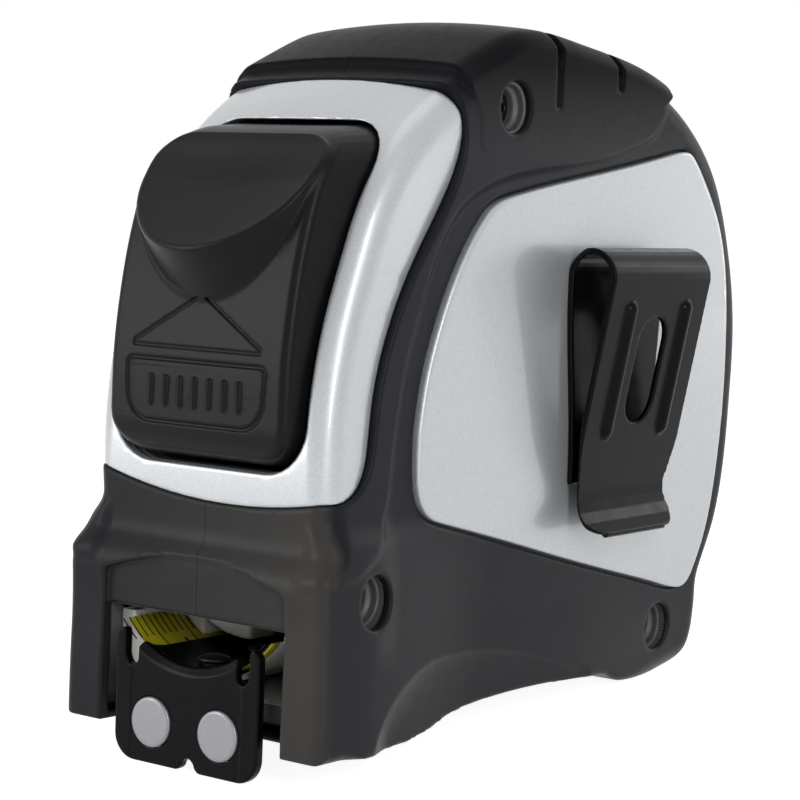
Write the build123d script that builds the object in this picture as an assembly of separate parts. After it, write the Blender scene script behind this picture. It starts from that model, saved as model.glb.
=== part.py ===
from build123d import *
import math
import os

os.makedirs("parts", exist_ok=True)

# Tape measure with a lockable button, a magnetic hook and a belt clip, in millimetres.
# x = 0 is the seam between the case halves and +X is the belt clip's side.
# y = 0 is the front of the nose, and the blade leaves the mouth along -Y.
# z = 0 is the underside of the feet, +Z is up.

# ---- Blade ----
BLADE_WIDTH = 25.0        # flat width, before it is cupped
BLADE_THICK = 0.25        # steel with its nylon coat
CUP_RADIUS = 14.4         # underside of the cupped blade
BLADE_Z = 7.3             # underside of the blade at its middle
BLADE_FRONT = 1.6         # y of the blade's free end

# ---- Reel ----
COIL_RADIUS = 28.8        # the wound blade
COIL_FRONT = 29.5         # y of the coil's front, behind the brake
COIL_LOW = 13.3           # z of the coil's underside, over the blade's way out
REEL_Y = COIL_FRONT + COIL_RADIUS
REEL_Z = COIL_LOW + COIL_RADIUS
BLADE_BACK = REEL_Y + 11.7          # where the modelled tongue ends, under the reel
DRUM_RADIUS = 20.6
DRUM_WALL = 1.6
REEL_SIDE = 0.4           # how far the drum stands past the blade on each side
REEL_HALF = BLADE_WIDTH / 2 + REEL_SIDE
WEB = 1.5
WEB_HOLE = 6.0
POST_RADIUS = 4.0
POST_SLOT = 1.2
POST_RING = 2.2           # wall of the boss around the post's end
HUB_SLEEVE = 1.6
BEARING_GAP = 0.06        # radial clearance of running fits
END_GAP = 0.3             # clearance between faces that pass each other
SPRING_THICK = 0.9
SPRING_PITCH = 2.2
SPRING_HALF = REEL_HALF - 2.4

# ---- Body ----
REAR_ROOM = 8.1           # from the coil to the rear
TOP_ROOM = 12.6           # from the coil to the top
SIDE_ROOM = 5.1           # from the blade's edge to each flat side
BODY_LENGTH = REEL_Y + COIL_RADIUS + REAR_ROOM
BODY_HEIGHT = REEL_Z + COIL_RADIUS + TOP_ROOM    # without the raised grip
BODY_HALF = BLADE_WIDTH / 2 + SIDE_ROOM
CROWN = 1.2               # how far the rim drops towards the sides
CORNER = 3.6              # rounding between the rim and the flat sides
FRONT_SHARE = 0.45        # share of that drop and rounding on the front face
SKIN = 1.4                # overmould and bezel thickness
WALL = 2.0                # hard case under the skin
BOND = 0.03               # clearance between a skin and the case under it
SEAM_GAP = 0.02           # clearance of each half to the centre plane
GRIP_RAISE = 1.0          # raised grip on top of the skin

# ---- Nose and feet ----
NOSE_PROUD = 2.2          # how far the nose stands past the flat sides
NOSE_HALF = BODY_HALF + NOSE_PROUD
NOSE_TOP = 19.0           # where the upright nose starts to flare inward
BEZEL_LOW = 27.4          # lower edge of the bezel, top of the nose flare
NOSE_BACK = 30.0          # y where the nose has blended into the sides
FLARE_PROUD = 0.2         # how far the top of the flare stands past the flat sides
NOSE_BURY = 0.15          # how far the nose's back corners lie inside the flat sides
NOSE_EDGE = 1.6           # rounding of the nose's front corners
MOUTH_GAP = 1.1           # beside the blade in the mouth
MOUTH_HALF = BLADE_WIDTH / 2 + MOUTH_GAP
MOUTH_TOP = 14.1
JAW_SETBACK = 2.6         # lower jaw behind the nose's front
JAW_RAISE = 2.0           # jaw's underside above the feet
JAW_DEPTH = 7.0           # how far back the raised underside runs
BELLY_Z = 2.6             # belly between the feet
FRONT_FOOT_END = 21.0
REAR_FOOT_END = BODY_LENGTH - 16.2
REAR_FOOT_START = REAR_FOOT_END - 12.5
ARCH_START = 9.4          # finger relief along the lower edge of each side
ARCH_PEAK = 27.0
ARCH_END = REAR_FOOT_START - 8.5
ARCH_HEIGHT = 9.2
ARCH_SLOPE = 7.0          # fall of the relief towards the belly, per mm of x

# ---- Side panels ----
PANEL_PROUD = 0.3
PANEL_GAP = 0.15
PANEL_CORNER = 2.0
PANEL_EDGE = 0.35

# ---- Release button ----
BUTTON_HALF = BODY_HALF - 3.5       # half width at the lower corners
BUTTON_TAPER = 0.8                  # narrowing of each side towards the top
BUTTON_LOW = BEZEL_LOW + 4.3
BUTTON_TOP = BODY_HEIGHT - 12.1
BUTTON_FRONT = -0.5
BUTTON_CORNER = 6.0
BUTTON_WALL = 2.0
BUTTON_GAP = 0.3
BUTTON_DEPTH = 7.0        # how far its walls reach behind the bezel's face
THUMB_RADIUS = 12.6
THUMB_RIM_Y = -3.5        # lowest point of the thumb shelf's rim
THUMB_RIM_Z = BUTTON_TOP - 15.1
THUMB_TOP_Y = 8.2
THUMB_TOP_Z = BUTTON_TOP - 1.7
SCOOP_Y = -0.5            # where the scoop under the rim meets the face
SCOOP_Z = BUTTON_TOP - 20.5
BUTTON_PIN_Y = 7.2
BUTTON_PIN_Z = BUTTON_LOW + 4.9
PIN_RADIUS = 1.5
PIN_SEAT = 1.0            # depth of each pin seat in the case wall
TORSION_WIRE = 0.7
TORSION_HALF = 2.2
TORSION_GAP = 0.3         # clearance of a torsion spring around its pin
LEG_RADIUS = TORSION_WIRE * 0.45
BUTTON_LEG = 6.5          # spring leg that pushes the button
CASE_LEG = 4.4            # spring leg that stands on the case
BUTTON_LEG_ANGLE = 120.0
CASE_LEG_ANGLE = 235.0

# ---- Brake ----
BRAKE_PIN_Y = 28.0
BRAKE_PIN_Z = 19.5
BRAKE_HALF = 3.4
BRAKE_EYE = 3.1
BRAKE_PEG = 1.4           # peg that the brake's spring pushes
BRAKE_PEG_AT = 9.0
BRAKE_LEG = 5.0           # leg of the brake's spring that stands towards the floor
BRAKE_LEG_ANGLE = 300.0
PAD_Y = 21.5
PAD_LENGTH = 5.0
PAD_THICK = 2.0
BRAKE_TIP_Y = 12.0        # top of the lever's long arm, behind the button's finger
BRAKE_TIP_Z = BUTTON_TOP - 13.9
BRAKE_ARM = math.degrees(math.atan2(BRAKE_TIP_Z - BRAKE_PIN_Z, BRAKE_TIP_Y + 1.4 - BRAKE_PIN_Y))

# ---- Hook ----
HOOK_HALF = MOUTH_HALF - 2.7
HOOK_THICK = 1.2
HOOK_FACE = -0.5          # y of the hook's face with the hook pushed in
HOOK_LOW = -3.5
HORN_TOP = 11.9
NOTCH_X = 8.4
NOTCH_RADIUS = 0.9
NOTCH_LOW = 8.7
TAB_THICK = 0.8
TAB_FRONT_HALF = 8.0
TAB_BACK_HALF = 5.0
TAB_BACK = 18.0
HOOK_PLAY = 1.2           # true-zero travel, equal to the hook's thickness
MAGNET_RADIUS = 2.95
MAGNET_X = 5.1
MAGNET_Z = 1.4
MAGNET_PROUD = 0.3
RIVET_RADIUS = 1.5
RIVET_HEAD = 2.0
RIVET_HEAD_THICK = 0.8
RIVET_FRONT = 4.4
RIVET_PITCH = 8.6

# ---- Belt clip ----
CLIP_WIDTH = 22.5
CLIP_THICK = 0.8
CLIP_ROLL = 3.4           # centre-line radius of the roll at the top
CLIP_TOP = REEL_Z + 14.9
CLIP_PINCH_Z = REEL_Z - 15.1
CLIP_LIP_Z = REEL_Z - 20.5
CLIP_RIB = 1.1
CLIP_RIB_LENGTH = 17.5
CLIP_RIB_X = 6.2
CLIP_HOLE_TALL = 13.5
CLIP_HOLE_WIDE = 5.5
CLIP_SCREW_RADIUS = 1.5
CLIP_HEAD_RADIUS = 2.5
CLIP_SCREW_DEPTH = 7.0    # how far the screw reaches in from the clip

# ---- Case screws ----
SCREW_SEAT_RADIUS = 3.1
SCREW_HEAD_RADIUS = 2.8
SCREW_HEAD_THICK = 2.4
SCREW_RADIUS = 1.5
SCREW_HEAD_X = BODY_HALF - 5.2      # outer face of the screw heads
SCREW_TIP_X = 8.6 - BODY_HALF
BOSS_RADIUS = 3.9

# ---- Outlines (y, z) ----
# They are drawn at a plain size, and stretched to the set length and height.
DRAWN_TOP = ((32.0, 81.2), (42.0, 83.5), (53.0, 82.5), (63.0, 81.2), (73.0, 78.6))
DRAWN_REAR = ((87.5, 68.5), (92.0, 60.0), (95.1, 48.5), (95.2, 37.0), (93.2, 25.5), (90.2, 17.0),
              (87.2, 9.8))
LONG_FIT = (BODY_LENGTH - NOSE_BACK) / (max(y for y, z in DRAWN_REAR) - NOSE_BACK)
TALL_FIT = (BODY_HEIGHT - BEZEL_LOW) / (max(z for y, z in DRAWN_TOP) - BEZEL_LOW)


def fitted(*points):
    """Drawn (y, z) points, fitted to the body behind the nose and above the bezel's lower edge."""
    return tuple((y if y < NOSE_BACK else NOSE_BACK + (y - NOSE_BACK) * LONG_FIT,
                  z if z < BEZEL_LOW else BEZEL_LOW + (z - BEZEL_LOW) * TALL_FIT) for y, z in points)


FRONT_LINE = fitted((2.0, BEZEL_LOW), (1.9, 37.0), (2.8, 43.5), (4.4, 49.5), (7.2, 56.8), (12.0, 67.0),
                    (16.8, 72.6), (23.6, 77.0))
TOP_LINE = fitted(*DRAWN_TOP)
REAR_LINE = fitted(*DRAWN_REAR)
HEEL = fitted((86.5, 3.8), (84.2, 1.0))

BEZEL_EDGE = fitted((2.0, BEZEL_LOW), (6.8, 28.4), (9.8, 31.6), (10.4, 40.0), (12.4, 46.7), (16.6, 54.5),
                    (21.9, 61.4), (25.0, 67.2), (25.2, 71.9), (23.8, 77.0))
PANEL_FRONT = fitted((18.6, 29.8), (18.4, 36.2), (19.5, 43.1), (21.9, 49.9), (27.2, 57.6), (33.4, 62.3))
PANEL_REAR = fitted((78.0, 70.3), (84.9, 61.4), (88.3, 52.0), (88.7, 36.4), (86.9, 23.2), (83.3, 14.9),
                    (80.1, 11.2))
PANEL_LOW = fitted((69.5, 13.3), (49.1, 18.3), (22.6, 25.1), (19.6, 26.9))
GRIP_EDGE = fitted((25.4, 90.0), (25.4, 77.0), (28.2, 73.5), (28.2, 69.0), (30.2, 68.3), (69.7, 75.5),
                   (72.5, 78.0), (72.5, 90.0))
GROOVES = fitted((43.6, 73.7), (57.6, 76.5))
SCREWS = fitted((35.2, 73.8), (9.4, 17.4), (75.0, 6.4))
GROOVE_WIDTH = 1.4
GROOVE_DEPTH = 0.8

OUT = 60.0                # reach of cutting tools past the body
WALL_X = BODY_HALF - SKIN - WALL    # inner face of the case's flat sides
BOSS_ROOT = 0.5           # how far a boss sinks into the case's side
SEAT_GAP = 0.05           # end clearance of pins and the post in their seats


def export(shape, node):
    shape.label = node
    export_step(shape, f"parts/{node}.step")


def side_face(points):
    """Face in the y-z plane between (y, z) points."""
    return Plane.YZ * make_face(Polyline(*points, close=True))


def side_prism(face, x_from, x_to):
    """A face of the y-z plane, extruded along x."""
    return Pos(x_from, 0, 0) * extrude(face, x_to - x_from, dir=(1, 0, 0))


def bar(x_range, y_range, z_range):
    size = [r[1] - r[0] for r in (x_range, y_range, z_range)]
    middle = [(r[0] + r[1]) / 2 for r in (x_range, y_range, z_range)]
    return Pos(*middle) * Box(*size)


def rod(radius, x_from, x_to, y, z):
    """A round bar along x."""
    return Pos((x_from + x_to) / 2, y, z) * Rot(0, 90, 0) * Cylinder(radius, abs(x_to - x_from))


def mirrored(shape):
    return mirror(shape, about=Plane.YZ)


# ---- Body forms ----
def corner_start(inset):
    """Share of the half width where the corner's rounding starts."""
    return 1 - max(CORNER - inset, 0.5) / (BODY_HALF - inset)


def stations(inset):
    """Shares of the half width at which the body's sections stand."""
    start = corner_start(inset)
    flat = [start * share for share in (0, 1 / 3, 2 / 3)]
    return flat + [start + (1 - start) * math.sin(math.radians(angle)) for angle in (0, 30, 60, 90)]


def rim_drop(share, inset):
    """How far the rim lies inside the centre outline at a share of the half width."""
    start = corner_start(inset)
    turn = max(0.0, (share - start) / (1 - start))
    corner = (1 - start) * (BODY_HALF - inset)
    return CROWN * share ** 2 + corner * (1 - math.sqrt(max(0.0, 1 - turn ** 2)))


def inward(points, amount):
    """Points moved to the left of their direction of travel by an amount."""
    moved = []
    for i, (y, z) in enumerate(points):
        before = points[max(i - 1, 0)]
        after = points[min(i + 1, len(points) - 1)]
        dy = after[0] - before[0]
        dz = after[1] - before[1]
        length = math.hypot(dy, dz)
        moved.append((y + amount * dz / length, z - amount * dy / length))
    return moved


def body_section(share, inset):
    """Closed outline of the body at a share of its half width, moved inward by inset."""
    drop = rim_drop(share, inset) + inset
    front_drop = rim_drop(share, inset) * FRONT_SHARE + inset
    rim = FRONT_LINE + TOP_LINE + REAR_LINE
    first_top = len(FRONT_LINE) - 2
    flat = inward(rim, front_drop)
    full = inward(rim, drop)
    points = []
    for i in range(len(rim)):
        blend = max(0.0, min(i - first_top, 2) / 2)
        points.append((flat[i][0] + (full[i][0] - flat[i][0]) * blend,
                       flat[i][1] + (full[i][1] - flat[i][1]) * blend))
    heel = [(y - drop, z + inset) for y, z in HEEL]
    foot = (REAR_FOOT_END - drop, inset)
    front_low = (points[0][0], inset)
    line = Spline(*points)
    heel_arc = Spline(points[-1], *heel, foot)
    base = Line(foot, front_low)
    front = Line(front_low, points[0])
    return Plane.YZ * make_face(line + heel_arc + base + front)


def half_body(inset):
    """Right half of the body without the nose, inset from the outer surface."""
    half = BODY_HALF - inset
    sections = [Pos(half * share, 0, 0) * body_section(share, inset) for share in stations(inset)]
    return loft(sections, ruled=True)


def nose_plan(half, back_half, front, inset):
    """Right half of the nose seen from above."""
    edge = max(NOSE_EDGE - inset, 0.3)
    outline = Polyline((0, front), (half - edge, front), (half - edge * 0.3, front + edge * 0.3),
                       (half, front + edge), (half - 0.3, ARCH_START + 1.0), (back_half, NOSE_BACK),
                       (0, NOSE_BACK), close=True)
    return make_face(outline)


def half_nose(inset):
    """Right half of the nose, upright below and flared towards the bezel."""
    back_half = BODY_HALF - NOSE_BURY - inset
    low = nose_plan(NOSE_HALF - inset, back_half, inset, inset)
    high = nose_plan(BODY_HALF + FLARE_PROUD - inset, back_half, FRONT_LINE[0][0] + inset, inset)
    upright = Pos(0, 0, inset) * extrude(low, NOSE_TOP - inset)
    flare = loft([Pos(0, 0, NOSE_TOP) * low, Pos(0, 0, BEZEL_LOW - inset * 0.4) * high], ruled=True)
    return upright + flare


def side_x(y):
    """Half width of the lower body at a place along it."""
    nose_end = ARCH_START + 1.0
    share = min(max((y - nose_end) / (NOSE_BACK - nose_end), 0.0), 1.0)
    return max(BODY_HALF, NOSE_HALF + (BODY_HALF - NOSE_BURY - NOSE_HALF) * share)


def relief(inset):
    """What is taken from under the body: the belly, the side arch and the raised jaw."""
    belly_z = BELLY_Z + inset
    belly = side_prism(side_face([(FRONT_FOOT_END - inset, -OUT), (FRONT_FOOT_END - inset, inset),
                                  (FRONT_FOOT_END + 9 - inset, belly_z),
                                  (REAR_FOOT_START - 5 + inset, belly_z - 0.4),
                                  (REAR_FOOT_START + inset, inset), (REAR_FOOT_START + inset, -OUT)]),
                       -1, OUT)
    start = ARCH_START - inset
    end = ARCH_END + inset
    line = [(start, 0), (ARCH_START + 8, ARCH_HEIGHT * 0.76), (ARCH_PEAK, ARCH_HEIGHT),
            (ARCH_PEAK + 18, ARCH_HEIGHT * 0.74), (end, BELLY_Z)]
    outer = NOSE_HALF + 2
    raised = [(y, z + (outer - side_x(y)) * ARCH_SLOPE) for y, z in line]
    under = Polyline(raised[-1], (end, -OUT), (start, -OUT), raised[0])
    slope = math.hypot(1, ARCH_SLOPE)
    tool = extrude(Plane.YZ * make_face(Spline(*raised) + under), 10 * slope,
                   dir=(-1 / slope, 0, -ARCH_SLOPE / slope))
    arch = Pos(outer - inset, 0, 0) * tool
    jaw = bar((-1, MOUTH_HALF + inset), (-1, JAW_DEPTH + inset), (-OUT, JAW_RAISE + inset))
    return belly, arch, jaw


def half_form(inset):
    """Right half of the whole outer form, inset from the surface."""
    form = half_body(inset) + half_nose(inset)
    for tool in relief(inset):
        form -= tool
    return form


def bezel_prism(gap):
    """Space in front of the bezel's edge, seen from the side."""
    edge = [(y + gap, z) for y, z in BEZEL_EDGE[1:]]
    low_z = BEZEL_LOW - gap
    outline = Polyline((-OUT, low_z), (BEZEL_EDGE[0][0] + gap, low_z), edge[0])
    curve = Spline(*edge)
    close = Polyline(edge[-1], (edge[-1][0], OUT * 2), (-OUT, OUT * 2), (-OUT, low_z))
    return side_prism(Plane.YZ * make_face(outline + curve + close), -OUT, OUT)


def panel_face(inset):
    """Outline of a side panel's window, moved inward by an inset."""
    outline = inward(PANEL_FRONT + PANEL_REAR + PANEL_LOW, inset)
    rear_from = len(PANEL_FRONT)
    low_from = rear_from + len(PANEL_REAR)
    front = Spline(*outline[:rear_from])
    rear = Spline(*outline[rear_from:low_from])
    top = Line(front @ 1, rear @ 0)
    low = Polyline(*outline[low_from - 1:], outline[0])
    face = make_face(front + top + rear + low)
    ends = (front @ 1, rear @ 0, rear @ 1)
    corners = [v for v in face.vertices() if min((Vector(v) - end).length for end in ends) < 0.1]
    return Plane.YZ * fillet(corners, PANEL_CORNER)


def button_outline(grow):
    """Front view of the button (x, z), grown by a clearance."""
    low = BUTTON_LOW - grow
    high = BUTTON_TOP + grow
    half = BUTTON_HALF + grow
    top_half = BUTTON_HALF - BUTTON_TAPER + grow
    plate = make_face(Polyline((-half, low), (half, low), (top_half, high), (-top_half, high), close=True))
    plate = fillet(plate.vertices().group_by(Axis.Y)[0], BUTTON_CORNER + grow)
    return fillet(plate.vertices().group_by(Axis.Y)[-1], BUTTON_CORNER * 0.6 + grow)


def button_opening():
    """Space that the button passes through in the bezel and the case."""
    column = extrude(Plane.XZ * button_outline(BUTTON_GAP), -OUT, both=True)
    back = [(y + BUTTON_DEPTH + 7.0, z) for y, z in FRONT_LINE]
    limit = side_face([(-OUT, 0), (back[0][0], 0), *back, (back[-1][0], OUT * 2), (-OUT, OUT * 2)])
    return column & side_prism(limit, -OUT, OUT)


# ---- Mouth and blade forms ----
BLADE_TURN = math.degrees(BLADE_WIDTH / (2 * CUP_RADIUS))
CUP_Z = BLADE_Z + CUP_RADIUS


def cupped(radius, thick, turn, y_from, y_to):
    """A strip cupped about the line above the blade, as an arc strip extruded along y."""
    ends = [(math.sin(math.radians(side * turn)), -math.cos(math.radians(side * turn)))
            for side in (-1, 0, 1)]
    outer = [(x * radius, CUP_Z + z * radius) for x, z in ends]
    inner = [(x * (radius - thick), CUP_Z + z * (radius - thick)) for x, z in ends]
    face = make_face(ThreePointArc(*outer) + Line(outer[2], inner[2])
                     + ThreePointArc(inner[2], inner[1], inner[0]) + Line(inner[0], outer[0]))
    return Pos(0, y_to, 0) * extrude(Plane.XZ * face, y_to - y_from)


def mouth_tunnel():
    """Way through the front wall for the blade, the hook and the guide."""
    front = bar((-MOUTH_HALF, MOUTH_HALF), (-OUT, JAW_SETBACK), (-OUT, MOUTH_TOP))
    way = bar((-MOUTH_HALF, MOUTH_HALF), (-1, NOSE_BACK), (SKIN + WALL + JAW_RAISE, MOUTH_TOP))
    return front + way


# ---- Case, skins, bezel and panels ----
OPENING = button_opening()
OUTER = half_form(0)
UNDER_SKIN = half_form(SKIN)
CASE_OUTER = half_form(SKIN + BOND)
CAVITY = half_form(SKIN + WALL)
SEAM = bar((0, SEAM_GAP), (-OUT, 2 * OUT), (-OUT, 2 * OUT))
WINDOW = side_prism(panel_face(0), BODY_HALF - SKIN - 0.5, OUT)
GRIP_BLOCK = side_prism(side_face(GRIP_EDGE), 0, OUT)


def screw_seat(y, z):
    """Recess for a case screw's head, with the hole for its shank."""
    return rod(SCREW_SEAT_RADIUS, SCREW_HEAD_X - SCREW_HEAD_THICK, OUT, y, z)


def grooves(form):
    """Two shallow grooves over the grip, following its surface."""
    shallow = half_body(GROOVE_DEPTH - GRIP_RAISE)
    for y, z in GROOVES:
        slot = bar((0, OUT), (y, y + GROOVE_WIDTH), (z, OUT * 2))
        form -= slot - shallow
    return form


def half_skin():
    """Rubber skin of the right half, without its screw seats."""
    grip = half_body(-GRIP_RAISE) & GRIP_BLOCK
    skin = grooves(OUTER + grip) - UNDER_SKIN
    skin = skin - bezel_prism(PANEL_GAP) - WINDOW - mouth_tunnel() - SEAM
    return skin


def half_case():
    """Hard shell of the right half, without bosses."""
    return CASE_OUTER - CAVITY - OPENING - mouth_tunnel() - SEAM


def case_bosses(side):
    """Bosses on the inside of the case half on one side (+1 right, -1 left)."""
    room = CASE_OUTER - SEAM
    bosses = []
    for y, z in SCREWS:
        bosses.append(rod(BOSS_RADIUS, SEAM_GAP, NOSE_HALF, y, z) & room)
    bosses.append(rod(POST_RADIUS + POST_RING, REEL_HALF + END_GAP, WALL_X + BOSS_ROOT, REEL_Y, REEL_Z))
    beside_spring = BRAKE_HALF + 2 * TORSION_HALF + 2 * END_GAP
    bosses.append(rod(BRAKE_EYE, beside_spring, WALL_X + BOSS_ROOT, BRAKE_PIN_Y, BRAKE_PIN_Z))
    half = bosses[0]
    for boss in bosses[1:]:
        half = half + boss
    return half if side > 0 else mirrored(half)


def pin_holes():
    """Seats of the post and both hinge pins in the case."""
    reach = WALL_X + PIN_SEAT
    return (rod(POST_RADIUS + BOND, -reach, reach, REEL_Y, REEL_Z)
            + rod(PIN_RADIUS + BOND, -reach, reach, BRAKE_PIN_Y, BRAKE_PIN_Z)
            + rod(PIN_RADIUS + BOND, -reach, reach, BUTTON_PIN_Y, BUTTON_PIN_Z))


def make_case():
    shell = half_case()
    right = shell + case_bosses(1) - pin_holes() - mouth_tunnel()
    left = mirrored(shell) + case_bosses(-1) - pin_holes() - mouth_tunnel()
    for y, z in SCREWS:
        right -= screw_seat(y, z)
        right -= rod(SCREW_RADIUS + BEARING_GAP, 0, OUT, y, z)
        left -= rod(SCREW_RADIUS + BOND, SCREW_TIP_X - END_GAP, 0, y, z)
    right -= clip_screw_hole()
    return right, left


def clip_screw_hole():
    return rod(CLIP_SCREW_RADIUS + BEARING_GAP, 0, OUT, REEL_Y, REEL_Z)


def make_skins():
    skin = half_skin()
    left = mirrored(skin)
    right = skin
    for y, z in SCREWS:
        right -= screw_seat(y, z)
    return right, left


def make_bezel():
    shell = (half_body(0) - half_body(SKIN)) & bezel_prism(0)
    keep = bar((-OUT, OUT), (-OUT, OUT), (BEZEL_LOW, OUT * 2))
    shell = shell & keep
    return shell + mirrored(shell) - OPENING


def make_panel():
    back = BODY_HALF - SKIN
    panel = side_prism(panel_face(PANEL_GAP), back, BODY_HALF + PANEL_PROUD)
    rim = panel.faces().sort_by(Axis.X)[-1].edges()
    return fillet(rim, PANEL_EDGE)


# ---- Belt clip ----
CLIP_BACK_X = BODY_HALF + PANEL_PROUD + CLIP_THICK / 2 + 0.02


def clip_strip(thick):
    """Side profile (x, z) of the bent clip, as a strip of the given thickness."""
    top_x = CLIP_BACK_X + 2 * CLIP_ROLL
    roll_z = CLIP_TOP - CLIP_ROLL
    leaf_end = (CLIP_BACK_X + 1.7, CLIP_PINCH_Z)
    back = Line((CLIP_BACK_X, CLIP_PINCH_Z + 1.0), (CLIP_BACK_X, roll_z))
    roll = ThreePointArc((CLIP_BACK_X, roll_z), (CLIP_BACK_X + CLIP_ROLL, CLIP_TOP), (top_x, roll_z))
    leaf = Line((top_x, roll_z), leaf_end)
    lip = ThreePointArc(leaf_end, (leaf_end[0] + 0.4, (CLIP_PINCH_Z + CLIP_LIP_Z) / 2),
                        (leaf_end[0] + 2.6, CLIP_LIP_Z))
    path = back + roll + leaf + lip
    return trace(path, line_width=thick)


def make_clip():
    strip = Pos(0, REEL_Y + CLIP_WIDTH / 2, 0) * extrude(Plane.XZ * clip_strip(CLIP_THICK), CLIP_WIDTH)
    hole = SlotOverall(CLIP_HOLE_TALL, CLIP_HOLE_WIDE, rotation=90)
    hole_x = CLIP_BACK_X + 2
    strip -= Pos(hole_x, REEL_Y, REEL_Z) * extrude(Plane.YZ * hole, OUT, dir=(1, 0, 0))
    strip -= rod(CLIP_SCREW_RADIUS + BEARING_GAP, 0, hole_x, REEL_Y, REEL_Z)
    top = (CLIP_BACK_X + 2 * CLIP_ROLL, CLIP_TOP - CLIP_ROLL)
    end = (CLIP_BACK_X + 1.7, CLIP_PINCH_Z)
    lean = math.degrees(math.atan2(top[0] - end[0], top[1] - end[1]))
    share = (REEL_Z - end[1]) / (top[1] - end[1])
    rib_x = end[0] + (top[0] - end[0]) * share + CLIP_THICK * 0.2
    for side in (-1, 1):
        rib = Cylinder(CLIP_RIB, CLIP_RIB_LENGTH - 2 * CLIP_RIB)
        rib += Pos(0, 0, CLIP_RIB_LENGTH / 2 - CLIP_RIB) * Sphere(CLIP_RIB)
        rib += Pos(0, 0, CLIP_RIB - CLIP_RIB_LENGTH / 2) * Sphere(CLIP_RIB)
        front = rib & Pos(OUT / 2, 0, 0) * Box(OUT, OUT, OUT)
        strip += Pos(rib_x, REEL_Y + side * CLIP_RIB_X, REEL_Z) * Rot(0, lean, 0) * front
    return strip


def make_clip_screw():
    """Pan-head screw that holds the clip and runs into the end of the hub post."""
    head_x = CLIP_BACK_X + CLIP_THICK / 2 + BOND
    shank = rod(CLIP_SCREW_RADIUS, head_x - CLIP_SCREW_DEPTH, head_x + 0.1, REEL_Y, REEL_Z)
    head = rod(CLIP_HEAD_RADIUS, head_x, head_x + 1.1, REEL_Y, REEL_Z)
    screw = shank + head
    for turn in (0, 90):
        screw -= Pos(head_x + 1.1, REEL_Y, REEL_Z) * Rot(turn, 0, 0) * Box(1.0, 0.8, 3.4)
    return screw


# ---- Screws and post ----
def make_screws():
    screws = []
    for y, z in SCREWS:
        inside = SCREW_HEAD_X - SCREW_HEAD_THICK + BOND
        screw = rod(SCREW_RADIUS, SCREW_TIP_X, inside + 0.1, y, z)
        screw += rod(SCREW_HEAD_RADIUS, inside, SCREW_HEAD_X, y, z)
        for turn in (0, 60, 120):
            flute = Box(2.4, 0.7, 3.4)
            screw -= Pos(SCREW_HEAD_X, y, z) * Rot(turn, 0, 0) * flute
        screws.append(screw)
    return Compound(children=screws)


def make_post():
    reach = WALL_X + PIN_SEAT - SEAT_GAP
    post = rod(POST_RADIUS, -reach, reach, REEL_Y, REEL_Z)
    slot = bar((-SPRING_HALF, SPRING_HALF), (REEL_Y - POST_SLOT / 2, REEL_Y + POST_SLOT / 2),
               (REEL_Z - 2 * POST_RADIUS, REEL_Z + 2 * POST_RADIUS))
    thread = rod(CLIP_SCREW_RADIUS + BOND, CLIP_BACK_X - CLIP_SCREW_DEPTH, OUT, REEL_Y, REEL_Z)
    return post - slot - thread


# ---- Reel, coil and mainspring ----
def make_reel():
    drum = rod(DRUM_RADIUS, -REEL_HALF, REEL_HALF, REEL_Y, REEL_Z)
    drum -= rod(DRUM_RADIUS - DRUM_WALL, -REEL_HALF + WEB, REEL_HALF + 1, REEL_Y, REEL_Z)
    sleeve = rod(POST_RADIUS + HUB_SLEEVE, -REEL_HALF, -SPRING_HALF - 0.3, REEL_Y, REEL_Z)
    drum += sleeve
    for turn in range(6):
        angle = math.radians(60 * turn)
        y = REEL_Y + (DRUM_RADIUS + POST_RADIUS) / 2 * math.cos(angle)
        z = REEL_Z + (DRUM_RADIUS + POST_RADIUS) / 2 * math.sin(angle)
        drum -= rod(WEB_HOLE / 2, -REEL_HALF - 1, -REEL_HALF + WEB + 1, y, z)
    return drum - rod(POST_RADIUS + BEARING_GAP, -OUT, OUT, REEL_Y, REEL_Z)


def make_coil():
    half = BLADE_WIDTH / 2
    pack = rod(COIL_RADIUS, -half, half, REEL_Y, REEL_Z)
    return pack - rod(DRUM_RADIUS + BOND, -half - 1, half + 1, REEL_Y, REEL_Z)


def make_mainspring():
    """Flat spiral made of half turns, each centred half a step from the one before."""
    turns = None
    radius = POST_RADIUS + 0.6
    largest = DRUM_RADIUS - DRUM_WALL - BEARING_GAP - SPRING_THICK
    side = 1
    step = SPRING_PITCH / 2
    while radius + step / 2 < largest:
        ring = Circle(radius + SPRING_THICK) - Circle(radius)
        keep = Pos(0, side * OUT / 2) * Rectangle(2 * OUT, OUT)
        half_turn = Pos(side * step / 2, 0) * (ring & keep)
        turns = half_turn if turns is None else turns + half_turn
        radius += step
        side = -side
    body = extrude(Plane.YZ * turns, SPRING_HALF, both=True)
    return Pos(0, REEL_Y, REEL_Z) * body


# ---- Blade, hook and mouth ----
def make_blade():
    strip = cupped(CUP_RADIUS, BLADE_THICK, BLADE_TURN, BLADE_FRONT, BLADE_BACK)
    for y in (RIVET_FRONT, RIVET_FRONT + RIVET_PITCH):
        strip -= Pos(0, y, BLADE_Z) * Cylinder(RIVET_RADIUS + BOND, 4)
    return strip


TAB_LOW = BLADE_Z + BLADE_THICK + 0.05


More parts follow.
